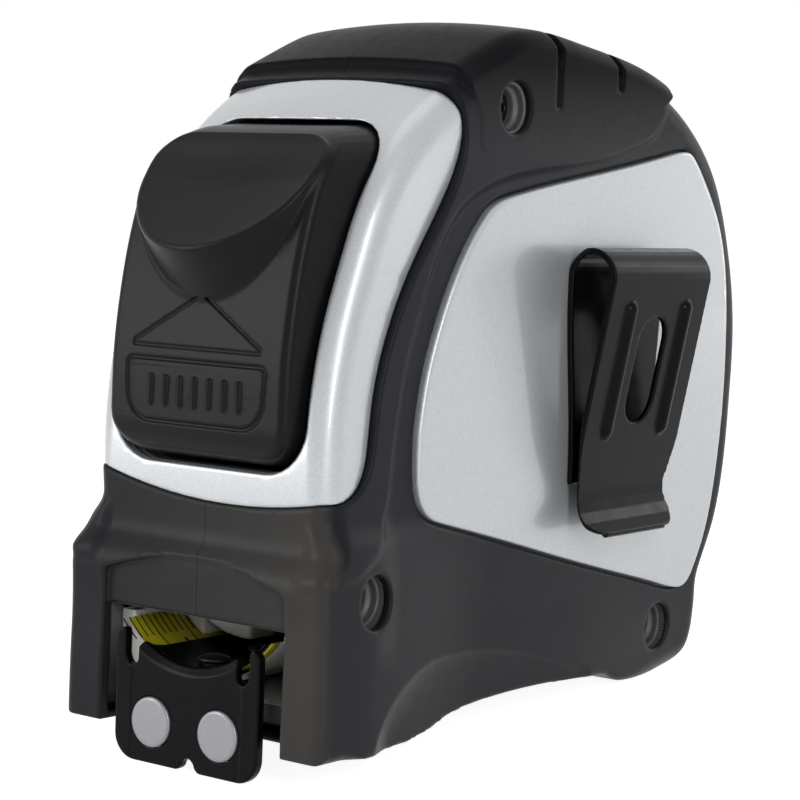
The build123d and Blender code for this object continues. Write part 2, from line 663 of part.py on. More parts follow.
def make_hook():
    plate = bar((-HOOK_HALF, HOOK_HALF), (HOOK_FACE, HOOK_FACE + HOOK_THICK), (HOOK_LOW, HORN_TOP))
    plate = fillet(plate.edges().filter_by(Axis.Y).group_by(Axis.Z)[0], 2.6)
    plate = fillet(plate.edges().filter_by(Axis.Y).group_by(Axis.Z)[-1], 0.5)
    window = Pos(0, 0, CUP_Z) * Rot(90, 0, 0) * Cylinder(CUP_Z - TAB_LOW - TAB_THICK, OUT)
    inner = NOTCH_X - NOTCH_RADIUS
    throat = bar((-NOTCH_X - NOTCH_RADIUS, NOTCH_X + NOTCH_RADIUS), (-OUT, OUT), (HORN_TOP - 2.0, OUT))
    plate -= throat
    plate -= window & bar((-inner, inner), (-OUT, OUT), (0, OUT))
    for side in (-1, 1):
        plate -= bar(sorted((side * (NOTCH_X - NOTCH_RADIUS), side * (NOTCH_X + NOTCH_RADIUS))),
                     (-OUT, OUT), (NOTCH_LOW, OUT))
        plate -= Pos(side * NOTCH_X, 0, NOTCH_LOW) * Rot(90, 0, 0) * Cylinder(NOTCH_RADIUS, OUT)
        plate -= Pos(side * MAGNET_X, 0, MAGNET_Z) * Rot(90, 0, 0) * Cylinder(MAGNET_RADIUS + BOND, OUT)
    low_notch = Pos(0, 0, HOOK_LOW) * Rot(90, 0, 0) * Cylinder(2.0, OUT)
    plate -= low_notch
    turn = math.degrees(TAB_FRONT_HALF / (CUP_RADIUS - BLADE_THICK))
    tab = cupped(CUP_Z - TAB_LOW, TAB_THICK, turn, HOOK_FACE + HOOK_THICK - 0.4, TAB_BACK)
    plan = make_face(Polyline((-TAB_FRONT_HALF, HOOK_FACE), (-TAB_FRONT_HALF, 3.0), (-TAB_BACK_HALF, TAB_BACK - 1),
                              (-TAB_BACK_HALF + 1, TAB_BACK), (TAB_BACK_HALF - 1, TAB_BACK),
                              (TAB_BACK_HALF, TAB_BACK - 1), (TAB_FRONT_HALF, 3.0), (TAB_FRONT_HALF, HOOK_FACE),
                              close=True))
    tab = tab & extrude(plan, OUT)
    for y in (RIVET_FRONT, RIVET_FRONT + RIVET_PITCH):
        slot = SlotCenterToCenter(HOOK_PLAY, 2 * (RIVET_RADIUS + BEARING_GAP), rotation=90)
        tab -= Pos(0, y + HOOK_PLAY / 2, BLADE_Z - 1) * extrude(slot, 8)
    return plate + tab


def make_magnets():
    back = HOOK_FACE + HOOK_THICK
    front = HOOK_FACE - MAGNET_PROUD
    discs = [Pos(side * MAGNET_X, (front + back) / 2, MAGNET_Z) * Rot(90, 0, 0)
             * Cylinder(MAGNET_RADIUS, back - front) for side in (-1, 1)]
    return Compound(children=discs)


def make_rivets():
    rivets = []
    top = TAB_LOW + TAB_THICK + 0.35
    for y in (RIVET_FRONT, RIVET_FRONT + RIVET_PITCH):
        low = BLADE_Z - 0.45
        shank = Pos(0, y, (low + top) / 2) * Cylinder(RIVET_RADIUS, top - low)
        head = Pos(0, y, top + 0.35) * Cylinder(RIVET_HEAD, RIVET_HEAD_THICK)
        foot = Pos(0, y, low + 0.1) * Cylinder(RIVET_RADIUS + 0.5, 0.2)
        rivets.append(shank + fillet(head.edges().group_by(Axis.Z)[-1], 0.3) + foot)
    return Compound(children=rivets)


GUIDE_LOW = SKIN + WALL + JAW_RAISE + BOND
GUIDE_BACK = NOSE_BACK - 2.0
GUIDE_FRONT = JAW_SETBACK + 0.4
GUIDE_TOP = CUP_Z - 9.1             # top of the guide's cheeks
GUIDE_GAP = 0.15                    # clearance under the blade
RIVET_WAY = 2.3                     # half the slot that the rivets run in
RIVET_WAY_DEEP = 1.0
BUMPER_HALF = 9.0
BUMPER_GAP = 0.5                    # between the pushed-in hook and the stop
BUMPER_EDGE = 0.8


def make_guide():
    half = MOUTH_HALF - SEAT_GAP
    block = bar((-half, half), (GUIDE_FRONT, GUIDE_BACK), (GUIDE_LOW, GUIDE_TOP))
    trough = Pos(0, 0, CUP_Z) * Rot(90, 0, 0) * Cylinder(CUP_RADIUS + GUIDE_GAP, OUT * 2)
    way_back = RIVET_FRONT + RIVET_PITCH + RIVET_RADIUS + HOOK_PLAY + END_GAP
    way = bar((-RIVET_WAY, RIVET_WAY), (-OUT, way_back), (BLADE_Z - RIVET_WAY_DEEP, OUT))
    return block - trough - way


def make_bumper():
    front = HOOK_FACE + HOOK_THICK + BUMPER_GAP
    pad = bar((-BUMPER_HALF, BUMPER_HALF), (front, JAW_SETBACK - BOND),
              (JAW_RAISE + BUMPER_EDGE, JAW_RAISE + SKIN + WALL - SEAT_GAP))
    return fillet(pad.edges().filter_by(Axis.Y), BUMPER_EDGE)


# ---- Button ----
def button_block(inset):
    """The button's solid form, inset from its surface."""
    column = extrude(Plane.XZ * button_outline(-inset), OUT, both=True)
    face = BUTTON_FRONT + inset
    line = [(OUT, BUTTON_LOW - 10), (2.5 + inset, BUTTON_LOW - 10), (2.5 + inset, BUTTON_LOW + inset),
            (face, BUTTON_LOW + 2.5 + inset), (face, SCOOP_Z - 2), (face + 1.6, SCOOP_Z + 6),
            (face + 5.2, SCOOP_Z + 13.5), (THUMB_TOP_Y + inset, THUMB_TOP_Z - inset),
            (THUMB_TOP_Y + 4.5 + inset, BUTTON_TOP - inset), (OUT, BUTTON_TOP - inset)]
    return column & side_prism(side_face(line), -OUT, OUT)


def thumb_shelf():
    """Overhanging thumb shelf: a tilted disc run down and back into the face."""
    slope = math.atan2(THUMB_TOP_Z - THUMB_RIM_Z, THUMB_TOP_Y - THUMB_RIM_Y)
    centre_y = THUMB_RIM_Y + THUMB_RADIUS * math.cos(slope)
    centre_z = THUMB_RIM_Z + THUMB_RADIUS * math.sin(slope)
    tilted = Plane(origin=(0, centre_y, centre_z), x_dir=(1, 0, 0),
                   z_dir=(0, -math.sin(slope), math.cos(slope)))
    disc = tilted * Circle(THUMB_RADIUS)
    run = (0, SCOOP_Y - THUMB_RIM_Y, SCOOP_Z - THUMB_RIM_Z)
    length = math.hypot(run[1], run[2])
    shelf = extrude(disc, length + 1.0, dir=Vector(run).normalized())
    keep = bar((-OUT, OUT), (-OUT, THUMB_TOP_Y), (-OUT, THUMB_TOP_Z))
    return shelf & keep


def make_button():
    solid = button_block(0) + thumb_shelf()
    back = [(y + BUTTON_DEPTH, z) for y, z in FRONT_LINE]
    limit = side_face([(-OUT, 0), (back[0][0], 0), *back, (back[-1][0], OUT * 2), (-OUT, OUT * 2)])
    solid = solid & side_prism(limit, -OUT, OUT)
    solid -= button_block(BUTTON_WALL)
    solid += bar((-BRAKE_HALF, BRAKE_HALF), (2.0, BRAKE_TIP_Y - END_GAP), (BRAKE_TIP_Z - 3, BRAKE_TIP_Z - 1))
    leg_way = bar((-TORSION_HALF - 0.4, TORSION_WIRE + 0.4 - TORSION_HALF), (4.0, OUT),
                  (BUTTON_LOW - 1, BUTTON_PIN_Z - 1))
    return solid - leg_way - rod(PIN_RADIUS + BEARING_GAP, -OUT, OUT, BUTTON_PIN_Y, BUTTON_PIN_Z)


def hinge_pin(y, z):
    reach = WALL_X + PIN_SEAT - SEAT_GAP
    return rod(PIN_RADIUS, -reach, reach, y, z)


def torsion_spring(y, z, moving_leg, fixed_leg, sense):
    """Close-wound coil around a hinge pin, with two straight legs (angle in degrees, length)."""
    inner = PIN_RADIUS + TORSION_GAP
    middle = inner + TORSION_WIRE / 2
    spring = rod(inner + TORSION_WIRE, -TORSION_HALF, TORSION_HALF, y, z)
    spring -= rod(inner, -OUT, OUT, y, z)
    edge = TORSION_HALF - TORSION_WIRE / 2
    for (angle, length), x in ((moving_leg, edge), (fixed_leg, -edge)):
        turn = math.radians(angle)
        start_y = y - sense * math.sin(turn) * middle
        start_z = z + sense * math.cos(turn) * middle
        leg = Pos(0, 0, length / 2) * Cylinder(LEG_RADIUS, length)
        spring += Pos(x, start_y, start_z) * Rot(angle - 90, 0, 0) * leg
    return spring


# ---- Brake ----
def make_brake():
    foot_z = BLADE_Z + BLADE_THICK + END_GAP + PAD_THICK
    profile = make_face(Polyline((PAD_Y - PAD_LENGTH / 2, foot_z), (PAD_Y + PAD_LENGTH / 2, foot_z),
                                 (PAD_Y + PAD_LENGTH / 2 + 0.6, foot_z + 2.2),
                                 (BRAKE_PIN_Y + 1.5, BRAKE_PIN_Z - 2.4), (BRAKE_PIN_Y + 2.6, BRAKE_PIN_Z + 1.2),
                                 (BRAKE_TIP_Y + 2.4, BRAKE_TIP_Z), (BRAKE_TIP_Y, BRAKE_TIP_Z),
                                 (BRAKE_TIP_Y, BRAKE_TIP_Z - 5), (BRAKE_PIN_Y - 5, BRAKE_PIN_Z + 4),
                                 (PAD_Y - PAD_LENGTH / 2, foot_z + 2.4), close=True))
    lever = extrude(Plane.YZ * profile, BRAKE_HALF, both=True)
    lever += rod(BRAKE_EYE, -BRAKE_HALF, BRAKE_HALF, BRAKE_PIN_Y, BRAKE_PIN_Z)
    arm = math.radians(BRAKE_ARM)
    lever += rod(BRAKE_PEG, -BRAKE_HALF, BRAKE_HALF + 2 * TORSION_WIRE,
                 BRAKE_PIN_Y + BRAKE_PEG_AT * math.cos(arm), BRAKE_PIN_Z + BRAKE_PEG_AT * math.sin(arm))
    return lever - rod(PIN_RADIUS + BEARING_GAP, -OUT, OUT, BRAKE_PIN_Y, BRAKE_PIN_Z)


def make_brake_spring():
    """Torsion spring beside the lever: one leg behind the lever's peg, one towards the floor."""
    beside = BRAKE_HALF + END_GAP + TORSION_HALF
    arm_leg = (BRAKE_ARM, BRAKE_PEG_AT + BRAKE_PEG)
    spring = torsion_spring(BRAKE_PIN_Y, BRAKE_PIN_Z, (BRAKE_LEG_ANGLE, BRAKE_LEG), arm_leg, -1)
    return Pos(beside, 0, 0) * spring


def make_brake_pad():
    low = BLADE_Z + BLADE_THICK + END_GAP
    pad = bar((-BRAKE_HALF, BRAKE_HALF), (PAD_Y - PAD_LENGTH / 2, PAD_Y + PAD_LENGTH / 2),
              (low, low + PAD_THICK))
    crown = Pos(0, 0, CUP_Z) * Rot(90, 0, 0) * Cylinder(CUP_RADIUS - BLADE_THICK - END_GAP, OUT * 2)
    return pad & crown


def build():
    right, left = make_case()
    export(right, "case_right")
    export(left, "case_left")
    skin_right, skin_left = make_skins()
    export(skin_right, "overmould_right")
    export(skin_left, "overmould_left")
    export(make_bezel(), "front_bezel")
    panel = make_panel()
    export(panel - clip_screw_hole(), "side_panel_right")
    export(mirrored(panel), "side_panel_left")
    export(make_button(), "release_button")
    export(hinge_pin(BUTTON_PIN_Y, BUTTON_PIN_Z), "button_pivot_pin")
    export(hinge_pin(BRAKE_PIN_Y, BRAKE_PIN_Z), "brake_pivot_pin")
    export(make_brake(), "brake_lever")
    export(make_brake_pad(), "brake_pad")
    export(make_clip(), "belt_clip")
    export(make_clip_screw(), "clip_screw")
    export(make_screws(), "case_screws")
    export(make_post(), "hub_post")
    export(make_reel(), "reel")
    export(make_coil(), "blade_coil")
    export(make_mainspring(), "mainspring")
    export(make_blade(), "blade_tongue")
    export(make_hook(), "hook")
    export(make_magnets(), "hook_magnets")
    export(make_rivets(), "hook_rivets")
    export(make_guide(), "mouth_guide")
    export(make_bumper(), "hook_bumper")
    export(torsion_spring(BUTTON_PIN_Y, BUTTON_PIN_Z, (BUTTON_LEG_ANGLE, BUTTON_LEG),
                          (CASE_LEG_ANGLE, CASE_LEG), 1), "button_spring")
    export(make_brake_spring(), "brake_spring")


build()
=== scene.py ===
"""Looks of a pocket tape measure: soft-touch skin, silver bezel and panels, button, hook, blade and clip."""
import math

import bmesh
import bpy
import numpy as np
from mathutils import Matrix, Vector


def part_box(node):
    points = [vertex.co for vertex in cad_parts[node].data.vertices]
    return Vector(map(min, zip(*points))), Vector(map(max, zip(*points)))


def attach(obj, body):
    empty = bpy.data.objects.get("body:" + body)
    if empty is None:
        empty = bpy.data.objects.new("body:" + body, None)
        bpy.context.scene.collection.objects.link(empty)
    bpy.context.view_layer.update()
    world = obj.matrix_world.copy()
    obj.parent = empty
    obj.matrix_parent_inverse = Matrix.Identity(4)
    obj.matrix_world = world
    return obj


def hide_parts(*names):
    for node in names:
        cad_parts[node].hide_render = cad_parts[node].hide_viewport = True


bl_info = {
    "name": "Tape measure",
    "version": (1, 0, 0),
    "blender": (4, 5, 0),
    "location": "View3D > Sidebar > Tape measure",
    "description": "Builds the finished pieces of a pocket tape measure around its packed model",
    "category": "Add Mesh",
}

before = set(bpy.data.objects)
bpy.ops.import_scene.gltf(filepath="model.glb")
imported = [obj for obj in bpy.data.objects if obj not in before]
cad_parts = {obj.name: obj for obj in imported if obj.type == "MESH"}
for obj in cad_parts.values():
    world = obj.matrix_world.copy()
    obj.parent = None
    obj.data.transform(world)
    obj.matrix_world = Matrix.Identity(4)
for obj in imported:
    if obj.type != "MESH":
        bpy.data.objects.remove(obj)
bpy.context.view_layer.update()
MM = 0.001      # shapes are worked out in millimetres and meshed in metres

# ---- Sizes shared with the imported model, read from it, in millimetres ----


def node_box(node):
    """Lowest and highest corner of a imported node, in millimetres."""
    low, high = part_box(node)
    return np.array(low) / MM, np.array(high) / MM


SKIN_LOW, SKIN_HIGH = node_box("overmould_right")
PANEL_LOW, PANEL_HIGH = node_box("side_panel_right")
BODY_HALF = node_box("front_bezel")[1][0]
NOSE_HALF = SKIN_HIGH[0]

SKIN = 1.4              # thickness of the rubber skin and of the bezel
CROWN = 1.2             # drop of the rim towards the sides
CORNER = 3.6            # rounding between rim and sides
NOSE_CRISPER = 2.0      # how much smaller that rounding is on the nose
REAR_CRISPER = 0.6      # and at the rear foot
REAR_DRAFT = 1.1        # how far each side is drawn in at the rear foot
FOOT_ROUND = 1.6
SEAM = 0.03             # half the gap on the centre plane
BOX_GAP = 0.03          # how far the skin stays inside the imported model's box
GRIP_RAISE = 1.0
GRIP_SIDE_RAISE = 0.3   # more of it on the sides
SHOULDER_RAISE = 0.4    # skin around the bezel, above the flat sides
WINDOW_SINK = 0.45      # skin around the panels, below the flat sides

# ---- Outlines, as (y, z) ----
FRONT_LINE = [(0.0, -8.0), (0.0, 8.0), (0.0, 17.5), (0.05, 19.8), (1.0, 21.5), (1.9, 22.8), (2.1, 24.6), (1.9, 28.0),
              (1.9, 37.0), (2.8, 43.5), (4.4, 49.5), (7.2, 56.8), (12.0, 67.0), (16.8, 72.6), (23.6, 77.0)]
TOP_LINE = [(32.0, 81.2), (37.0, 83.0), (42.0, 83.5), (53.0, 82.5), (63.0, 81.2), (73.0, 78.6)]
REAR_LINE = [(87.5, 68.5), (92.0, 60.0), (95.1, 48.5), (95.2, 37.0), (93.2, 25.5), (90.2, 17.0),
             (87.3, 9.8), (87.0, 4.6), (85.4, 1.2), (80.0, -0.6), (68.0, -3.0)]
BEZEL_EDGE = [(1.0, 28.1), (4.6, 28.2), (7.0, 29.0), (8.8, 30.9), (9.7, 34.0), (10.4, 40.0), (12.4, 46.7),
              (16.6, 54.5), (21.8, 61.4), (24.6, 66.5), (25.2, 69.3), (24.9, 71.6), (24.0, 73.6), (22.3, 77.0),
              (20.5, 84.0)]
PANEL_EDGE = [(18.4, 36.0), (19.3, 41.2), (21.2, 46.9), (24.0, 52.7), (27.4, 57.8), (29.9, 60.6), (31.6, 62.0),
              (33.6, 62.9), (36.5, 63.6), (55.0, 66.7), (72.0, 69.6), (75.2, 70.1), (76.9, 70.0), (78.2, 69.2),
              (81.0, 66.4), (84.9, 61.4), (87.2, 56.3), (88.4, 50.0), (88.8, 43.0), (88.7, 36.4), (87.9, 29.0),
              (86.6, 22.4), (84.9, 17.6), (82.7, 13.8), (81.2, 12.0), (79.8, 11.3), (78.0, 11.3), (74.0, 12.2),
              (60.0, 15.6), (49.1, 18.3), (36.0, 21.7), (23.8, 24.7), (21.4, 25.5), (19.6, 27.1), (18.7, 29.4),
              (18.4, 32.4), (18.4, 36.0)]
SHOULDER_EDGE = [(-20.0, 20.4), (2.0, 20.7), (5.1, 21.3), (7.6, 22.3), (9.9, 23.9), (11.7, 26.2), (12.7, 29.2),
                 (13.2, 33.5), (14.1, 39.2), (15.2, 44.2), (16.9, 48.6), (19.3, 54.6), (21.8, 58.8), (25.0, 62.2),
                 (30.4, 64.9), (48.0, 68.0), (64.0, 71.1), (67.6, 72.6), (70.3, 75.8), (72.0, 79.0), (76.0, 90.0)]
SHOULDER_SLOPE = 1.4    # width of the fall from the shoulder to the panel's surround
FLARE = [(12.0, 1.0), (17.0, 1.0), (20.0, 0.93), (22.5, 0.78), (24.2, 0.56), (25.2, 0.28), (26.2, 0.06), (28.0, 0.0),
         (34.0, 0.0)]   # share of the nose's flare at each height
GRIP_EDGE = [(25.2, 95.0), (25.2, 76.5), (26.0, 75.2), (27.6, 73.6), (28.3, 71.8), (28.2, 69.6), (29.0, 68.6),
             (30.6, 68.4), (69.0, 75.4), (71.4, 76.7), (72.6, 79.0), (73.2, 95.0)]
GROOVES = ((44.3, 73.9), (58.3, 76.7))      # y and lower end of each
GROOVE_HALF = 0.75
GROOVE_DEPTH = 1.25
SCREWS = ((35.2, 73.8), (9.4, 17.4), (75.0, 6.4))
SCREW_RAISED = (2.8, 3.0, 1.0)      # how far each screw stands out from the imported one, to be seen in its seat
SCREW_HEAD_X = 12.4
SEAT_RADIUS = 3.1
BELLY = [(-5.0, -0.01), (20.5, 0.0), (23.0, 0.3), (28.4, 1.5), (31.0, 1.8), (60.0, 1.7), (62.5, 1.4),
         (66.0, 0.2), (67.5, -0.01), (120.0, -0.02)]
ARCH = [(9.0, -2.0), (9.6, 0.0), (12.0, 3.9), (17.0, 7.4), (22.0, 8.9), (27.0, 9.2), (36.0, 8.4), (45.0, 6.6),
        (52.0, 4.6), (58.0, 2.4), (62.0, -2.0)]
ARCH_DEPTH = 1.15
ARCH_TALL = 6.5         # height over which the cove fades
ARCH_SKIN = 0.7         # skin left behind the cove
MOUTH_HALF = 13.6
MOUTH_TOP = 14.1
MOUTH_BACK = 40.0
JAW_BACK = 2.6
JAW_UNDER = 2.0
JAW_UNDER_BACK = 7.0
LINTEL_SINK = 0.9
LINTEL_TOP = 20.9


# ---- Solid shapes as fields: negative inside, positive outside, in millimetres ----
def both(a, b, radius):
    """What two fields share, with the edge between them rounded."""
    return np.minimum(np.maximum(a, b), -radius) + np.hypot(np.maximum(a + radius, 0), np.maximum(b + radius, 0))


def either(a, b, radius):
    """Two fields joined, with the corner between them filled to a radius."""
    return np.maximum(np.minimum(a, b), radius) - np.hypot(np.maximum(radius - a, 0), np.maximum(radius - b, 0))


def cut(a, b, radius):
    """The first field without the second."""
    return both(a, -b, radius)


def ease(value, start, end):
    """A smooth step from 0 at start to 1 at end."""
    share = np.clip((value - start) / (end - start), 0, 1)
    return share * share * (3 - 2 * share)


def slab(value, low, high):
    """What lies between two values."""
    return np.maximum(low - value, value - high)


def smooth_line(points, spacing=0.6):
    """Points along a natural cubic spline through a list of points."""
    points = np.array(points, float)
    run = np.concatenate([[0], np.cumsum(np.hypot(*np.diff(points, axis=0).T))])
    count = len(points)
    step = np.diff(run)
    rows = np.eye(count)
    right = np.zeros((count, 2))
    for i in range(1, count - 1):
        rows[i, i - 1:i + 2] = step[i - 1], 2 * (step[i - 1] + step[i]), step[i]
        right[i] = 6 * ((points[i + 1] - points[i]) / step[i] - (points[i] - points[i - 1]) / step[i - 1])
    bend = np.linalg.solve(rows, right)
    at = np.linspace(0, run[-1], max(int(run[-1] / spacing), 2))
    k = np.clip(np.searchsorted(run, at) - 1, 0, count - 2)
    after, before, h = (run[k + 1] - at)[:, None], (at - run[k])[:, None], step[k][:, None]
    return (bend[k] * after ** 3 / 6 / h + bend[k + 1] * before ** 3 / 6 / h
            + (points[k] / h - bend[k] * h / 6) * after + (points[k + 1] / h - bend[k + 1] * h / 6) * before)


class Outline:
    """Signed distance to a closed outline, negative inside, read from a fine table."""
    STEP = 0.25

    def __init__(self, *runs):
        line = np.concatenate([np.array(run, float) for run in runs])
        self.low = np.maximum(line.min(0), (-30, -12)) - 4
        size = np.minimum(line.max(0), (125, 100)) + 4 - self.low
        u = self.low[0] + np.arange(0, size[0], self.STEP)[:, None]
        v = self.low[1] + np.arange(0, size[1], self.STEP)[None, :]
        far = np.full((u.size, v.size), 1e9)
        inside = np.zeros(far.shape, bool)
        for (au, av), (bu, bv) in zip(line, np.roll(line, -1, 0)):
            du, dv = bu - au, bv - av
            if du * du + dv * dv < 1e-12:
                continue
            share = np.clip(((u - au) * du + (v - av) * dv) / (du * du + dv * dv), 0, 1)
            far = np.minimum(far, (u - au - share * du) ** 2 + (v - av - share * dv) ** 2)
            if dv:
                inside ^= ((av > v) != (bv > v)) & (u < au + (v - av) * du / dv)
        self.table = np.where(inside, -1, 1) * np.sqrt(far)

    def __call__(self, u, v):
        fu = np.clip((u - self.low[0]) / self.STEP, 0, self.table.shape[0] - 1.001)
        fv = np.clip((v - self.low[1]) / self.STEP, 0, self.table.shape[1] - 1.001)
        i, j = fu.astype(int), fv.astype(int)
        su, sv = fu - i, fv - j
        t = self.table
        return ((t[i, j] * (1 - su) + t[i + 1, j] * su) * (1 - sv)
                + (t[i, j + 1] * (1 - su) + t[i + 1, j + 1] * su) * sv)


def height_line(points):
    """A smooth curve through points, as a function of their first number."""
    line = smooth_line(points, 0.25)
    return lambda at: np.interp(at, line[:, 0], line[:, 1])


def net(field, low, high, cell):
    """Vertices and quads of the surface where a field is zero, by surface nets."""
    axes = [low[i] + cell * np.arange(int(math.ceil((high[i] - low[i]) / cell)) + 1) for i in range(3)]
    value = field(axes[0][:, None, None], axes[1][None, :, None], axes[2][None, None, :])
    value = np.broadcast_to(value, [len(a) for a in axes])
    shape = np.array(value.shape)
    cells = shape - 1
    total = np.zeros((int(np.prod(cells)), 3))
    count = np.zeros(int(np.prod(cells)))
    quads = []
    for axis in range(3):
        one = np.eye(3, dtype=int)[axis]
        near = value[tuple(slice(0, n - o) for n, o in zip(shape, one))]
        beyond = value[tuple(slice(o, n) for n, o in zip(shape, one))]
        at = np.argwhere((near < 0) != (beyond < 0))
        a, b = near[tuple(at.T)], beyond[tuple(at.T)]
        point = at + one * (a / (a - b))[:, None]
        sides = [i for i in range(3) if i != axis]
        ring = []
        for shift in ((-1, -1), (0, -1), (0, 0), (-1, 0)):
            cell_at = at.copy()
            cell_at[:, sides[0]] += shift[0]
            cell_at[:, sides[1]] += shift[1]
            good = ((cell_at >= 0) & (cell_at < cells)).all(1)
            index = np.where(good, np.ravel_multi_index(np.clip(cell_at, 0, cells - 1).T, cells), -1)
            ring.append(index)
            for i in range(3):
                total[:, i] += np.bincount(index[good], point[good, i], len(total))
            count += np.bincount(index[good], minlength=len(count))
        ring = np.stack(ring, 1)
        whole = ring.min(1) >= 0
        turned = ((a < 0) == (axis != 1))[whole, None]
        quads.append(np.where(turned, ring[whole], ring[whole][:, ::-1]))
    used = np.nonzero(count)[0]
    number = np.full(len(count), -1)
    number[used] = np.arange(len(used))
    verts = total[used] / count[used, None] * cell + np.array(low)
    return verts, number[np.concatenate(quads)]


def settle(verts, quads, field, cell, rounds=2):
    """Evens the mesh out and moves each vertex onto the field's surface."""
    edges = np.unique(np.sort(np.concatenate([quads[:, [0, 1]], quads[:, [1, 2]], quads[:, [2, 3]],
                                              quads[:, [3, 0]]]), 1), axis=0)
    degree = np.bincount(edges.ravel(), minlength=len(verts))[:, None]
    step = 0.03
    for turn in range(rounds + 1):
        if turn:
            total = np.zeros_like(verts)
            for i in range(3):
                total[:, i] = (np.bincount(edges[:, 0], verts[edges[:, 1], i], len(verts))
                               + np.bincount(edges[:, 1], verts[edges[:, 0], i], len(verts)))
            verts = verts * 0.4 + total / degree * 0.6
        for _ in range(2):
            here = field(*verts.T)
            slope = np.stack([field(*(verts + step * np.eye(3)[i]).T) - field(*(verts - step * np.eye(3)[i]).T)
                              for i in range(3)], 1) / (2 * step)
            size = np.maximum((slope ** 2).sum(1), 0.05)
            move = -(here / size)[:, None] * slope
            verts = verts + np.clip(move, -cell / 2, cell / 2)
    return verts


def mesh_of(name, verts, faces):
    """A Blender mesh from arrays of vertices in millimetres and quads."""
    mesh = bpy.data.meshes.new(name)
    mesh.vertices.add(len(verts))
    mesh.vertices.foreach_set("co", (verts * MM).astype(np.float32).ravel())
    mesh.loops.add(faces.size)
    mesh.loops.foreach_set("vertex_index", faces.astype(np.int32).ravel())
    mesh.polygons.add(len(faces))
    mesh.polygons.foreach_set("loop_start", np.arange(0, faces.size, 4, dtype=np.int32))
    mesh.update(calc_edges=True)
    return mesh


def split_at(mesh, place, side):
    """Cuts a mesh at a plane across x, keeps one side and closes it with a flat, sharp-edged face."""
    form = bmesh.new()
    form.from_mesh(mesh)
    found = bmesh.ops.bisect_plane(form, geom=form.verts[:] + form.edges[:] + form.faces[:], dist=1e-7,
                                   plane_co=(place * MM, 0, 0), plane_no=(side, 0, 0), clear_inner=True)
    edges = [e for e in found["geom_cut"] if isinstance(e, bmesh.types.BMEdge)]
    bmesh.ops.triangle_fill(form, use_beauty=True, use_dissolve=False, edges=edges, normal=(-side, 0, 0))
    bmesh.ops.recalc_face_normals(form, faces=form.faces)
    for face in form.faces:
        flat = all(abs(v.co.x - place * MM) < 1e-7 for v in face.verts)
        for edge in face.edges if flat else ():
            edge.smooth = False
    form.to_mesh(mesh)
    form.free()


def solid(name, field, low, high, cell, paint, split=None, keep=1.0, hidden=None):
    """A piece whose surface is where a field is zero.

    split is a plane across x and the side that is kept. keep is the share of the mesh that is left when it is
    thinned, which is only done where hidden() holds if that is given.
    """
    margin = cell * 2.5
    verts, quads = net(field, np.array(low, float) - margin, np.array(high, float) + margin, cell)
    verts = settle(verts, quads, field, cell)
    mesh = mesh_of(name, verts, quads)
    mesh.shade_smooth()
    if split:
        split_at(mesh, *split)
    mesh.materials.append(paint)
    piece = bpy.data.objects.new(name, mesh)
    bpy.context.scene.collection.objects.link(piece)
    if keep < 1.0:
        thin = piece.modifiers.new("Thin", "DECIMATE")
        thin.ratio = keep
        if hidden:
            spots = np.empty(len(mesh.vertices) * 3, np.float32)
            mesh.vertices.foreach_get("co", spots)
            inner = np.nonzero(hidden(*(spots.reshape(-1, 3).T / MM)))[0]
            piece.vertex_groups.new(name="inner").add(inner.tolist(), 1.0, "REPLACE")
            thin.vertex_group = "inner"
        seen = piece.evaluated_get(bpy.context.evaluated_depsgraph_get())
        piece.data = bpy.data.meshes.new_from_object(seen)
        piece.data.name = name
        piece.modifiers.remove(thin)
        piece.vertex_groups.clear()
        bpy.data.meshes.remove(mesh)
    return piece


# ---- The body's form ----
BODY_SIDE = Outline(smooth_line(FRONT_LINE + TOP_LINE + REAR_LINE), [(68.0, -12.0), (0.0, -12.0)])
BEZEL_SIDE = Outline(smooth_line(BEZEL_EDGE), [(20.5, 99.0), (-29.0, 99.0), (-29.0, 28.1)])
WINDOW_SIDE = Outline(smooth_line(PANEL_EDGE, 0.4))
SHOULDER_SIDE = Outline(smooth_line(SHOULDER_EDGE), [(-29.0, 90.0)])
GRIP_SIDE = Outline(GRIP_EDGE)
BELLY_LINE = height_line(BELLY)
ARCH_LINE = height_line(ARCH)
FLARE_LINE = height_line(FLARE)


def half_width(y, z):
    """Half the body's width: a flared nose, and sides drawn in a little at the rear foot."""
    along = 1 - ease(y, 5.0, 34.0)
    flare = np.where(z < 12.0, 1.0, np.where(z > 30.0, 0.0, FLARE_LINE(z)))
    rear = ease(y, 52.0, 82.0)
    return BODY_HALF + (NOSE_HALF - BODY_HALF) * along * flare - REAR_DRAFT * rear * (1 - ease(z, 0.0, 20.0))


def shell_form(x, y, z, grow=0.0):
    """The body's outer form, crowned across its rim and rounded at its corners."""
    across = np.abs(x)
    wide = half_width(y, z)
    nose = (1 - ease(z, 20.0, 27.0)) * (1 - ease(y, 10.0, 28.0))
    upper = ease(z, 20.0, 40.0)
    rear_low = ease(y, 60.0, 80.0) * (1 - upper)
    crown = (0.1 + CROWN * ease(y, 12.0, 34.0) * upper + 0.4 * rear_low) * (1 - nose) * (across / wide) ** 2
    form = both(across - wide, BODY_SIDE(y, z) + crown, CORNER - NOSE_CRISPER * nose - REAR_CRISPER * rear_low)
    foot = both(across - wide, -z, FOOT_ROUND)
    return np.maximum(form, foot - 3.0 * ease(y, 4.0, 16.0)) - grow


def bezel_side(x, y, z):
    """The bezel's edge in side view, its foot hanging lower in the middle of the front."""
    u = np.clip(x / 15.6, -1.05, 1.05)
    return BEZEL_SIDE(y, z + (0.6 - 1.75 * u * u + 0.75 * u) * (1 - ease(z, 30.0, 42.0)))


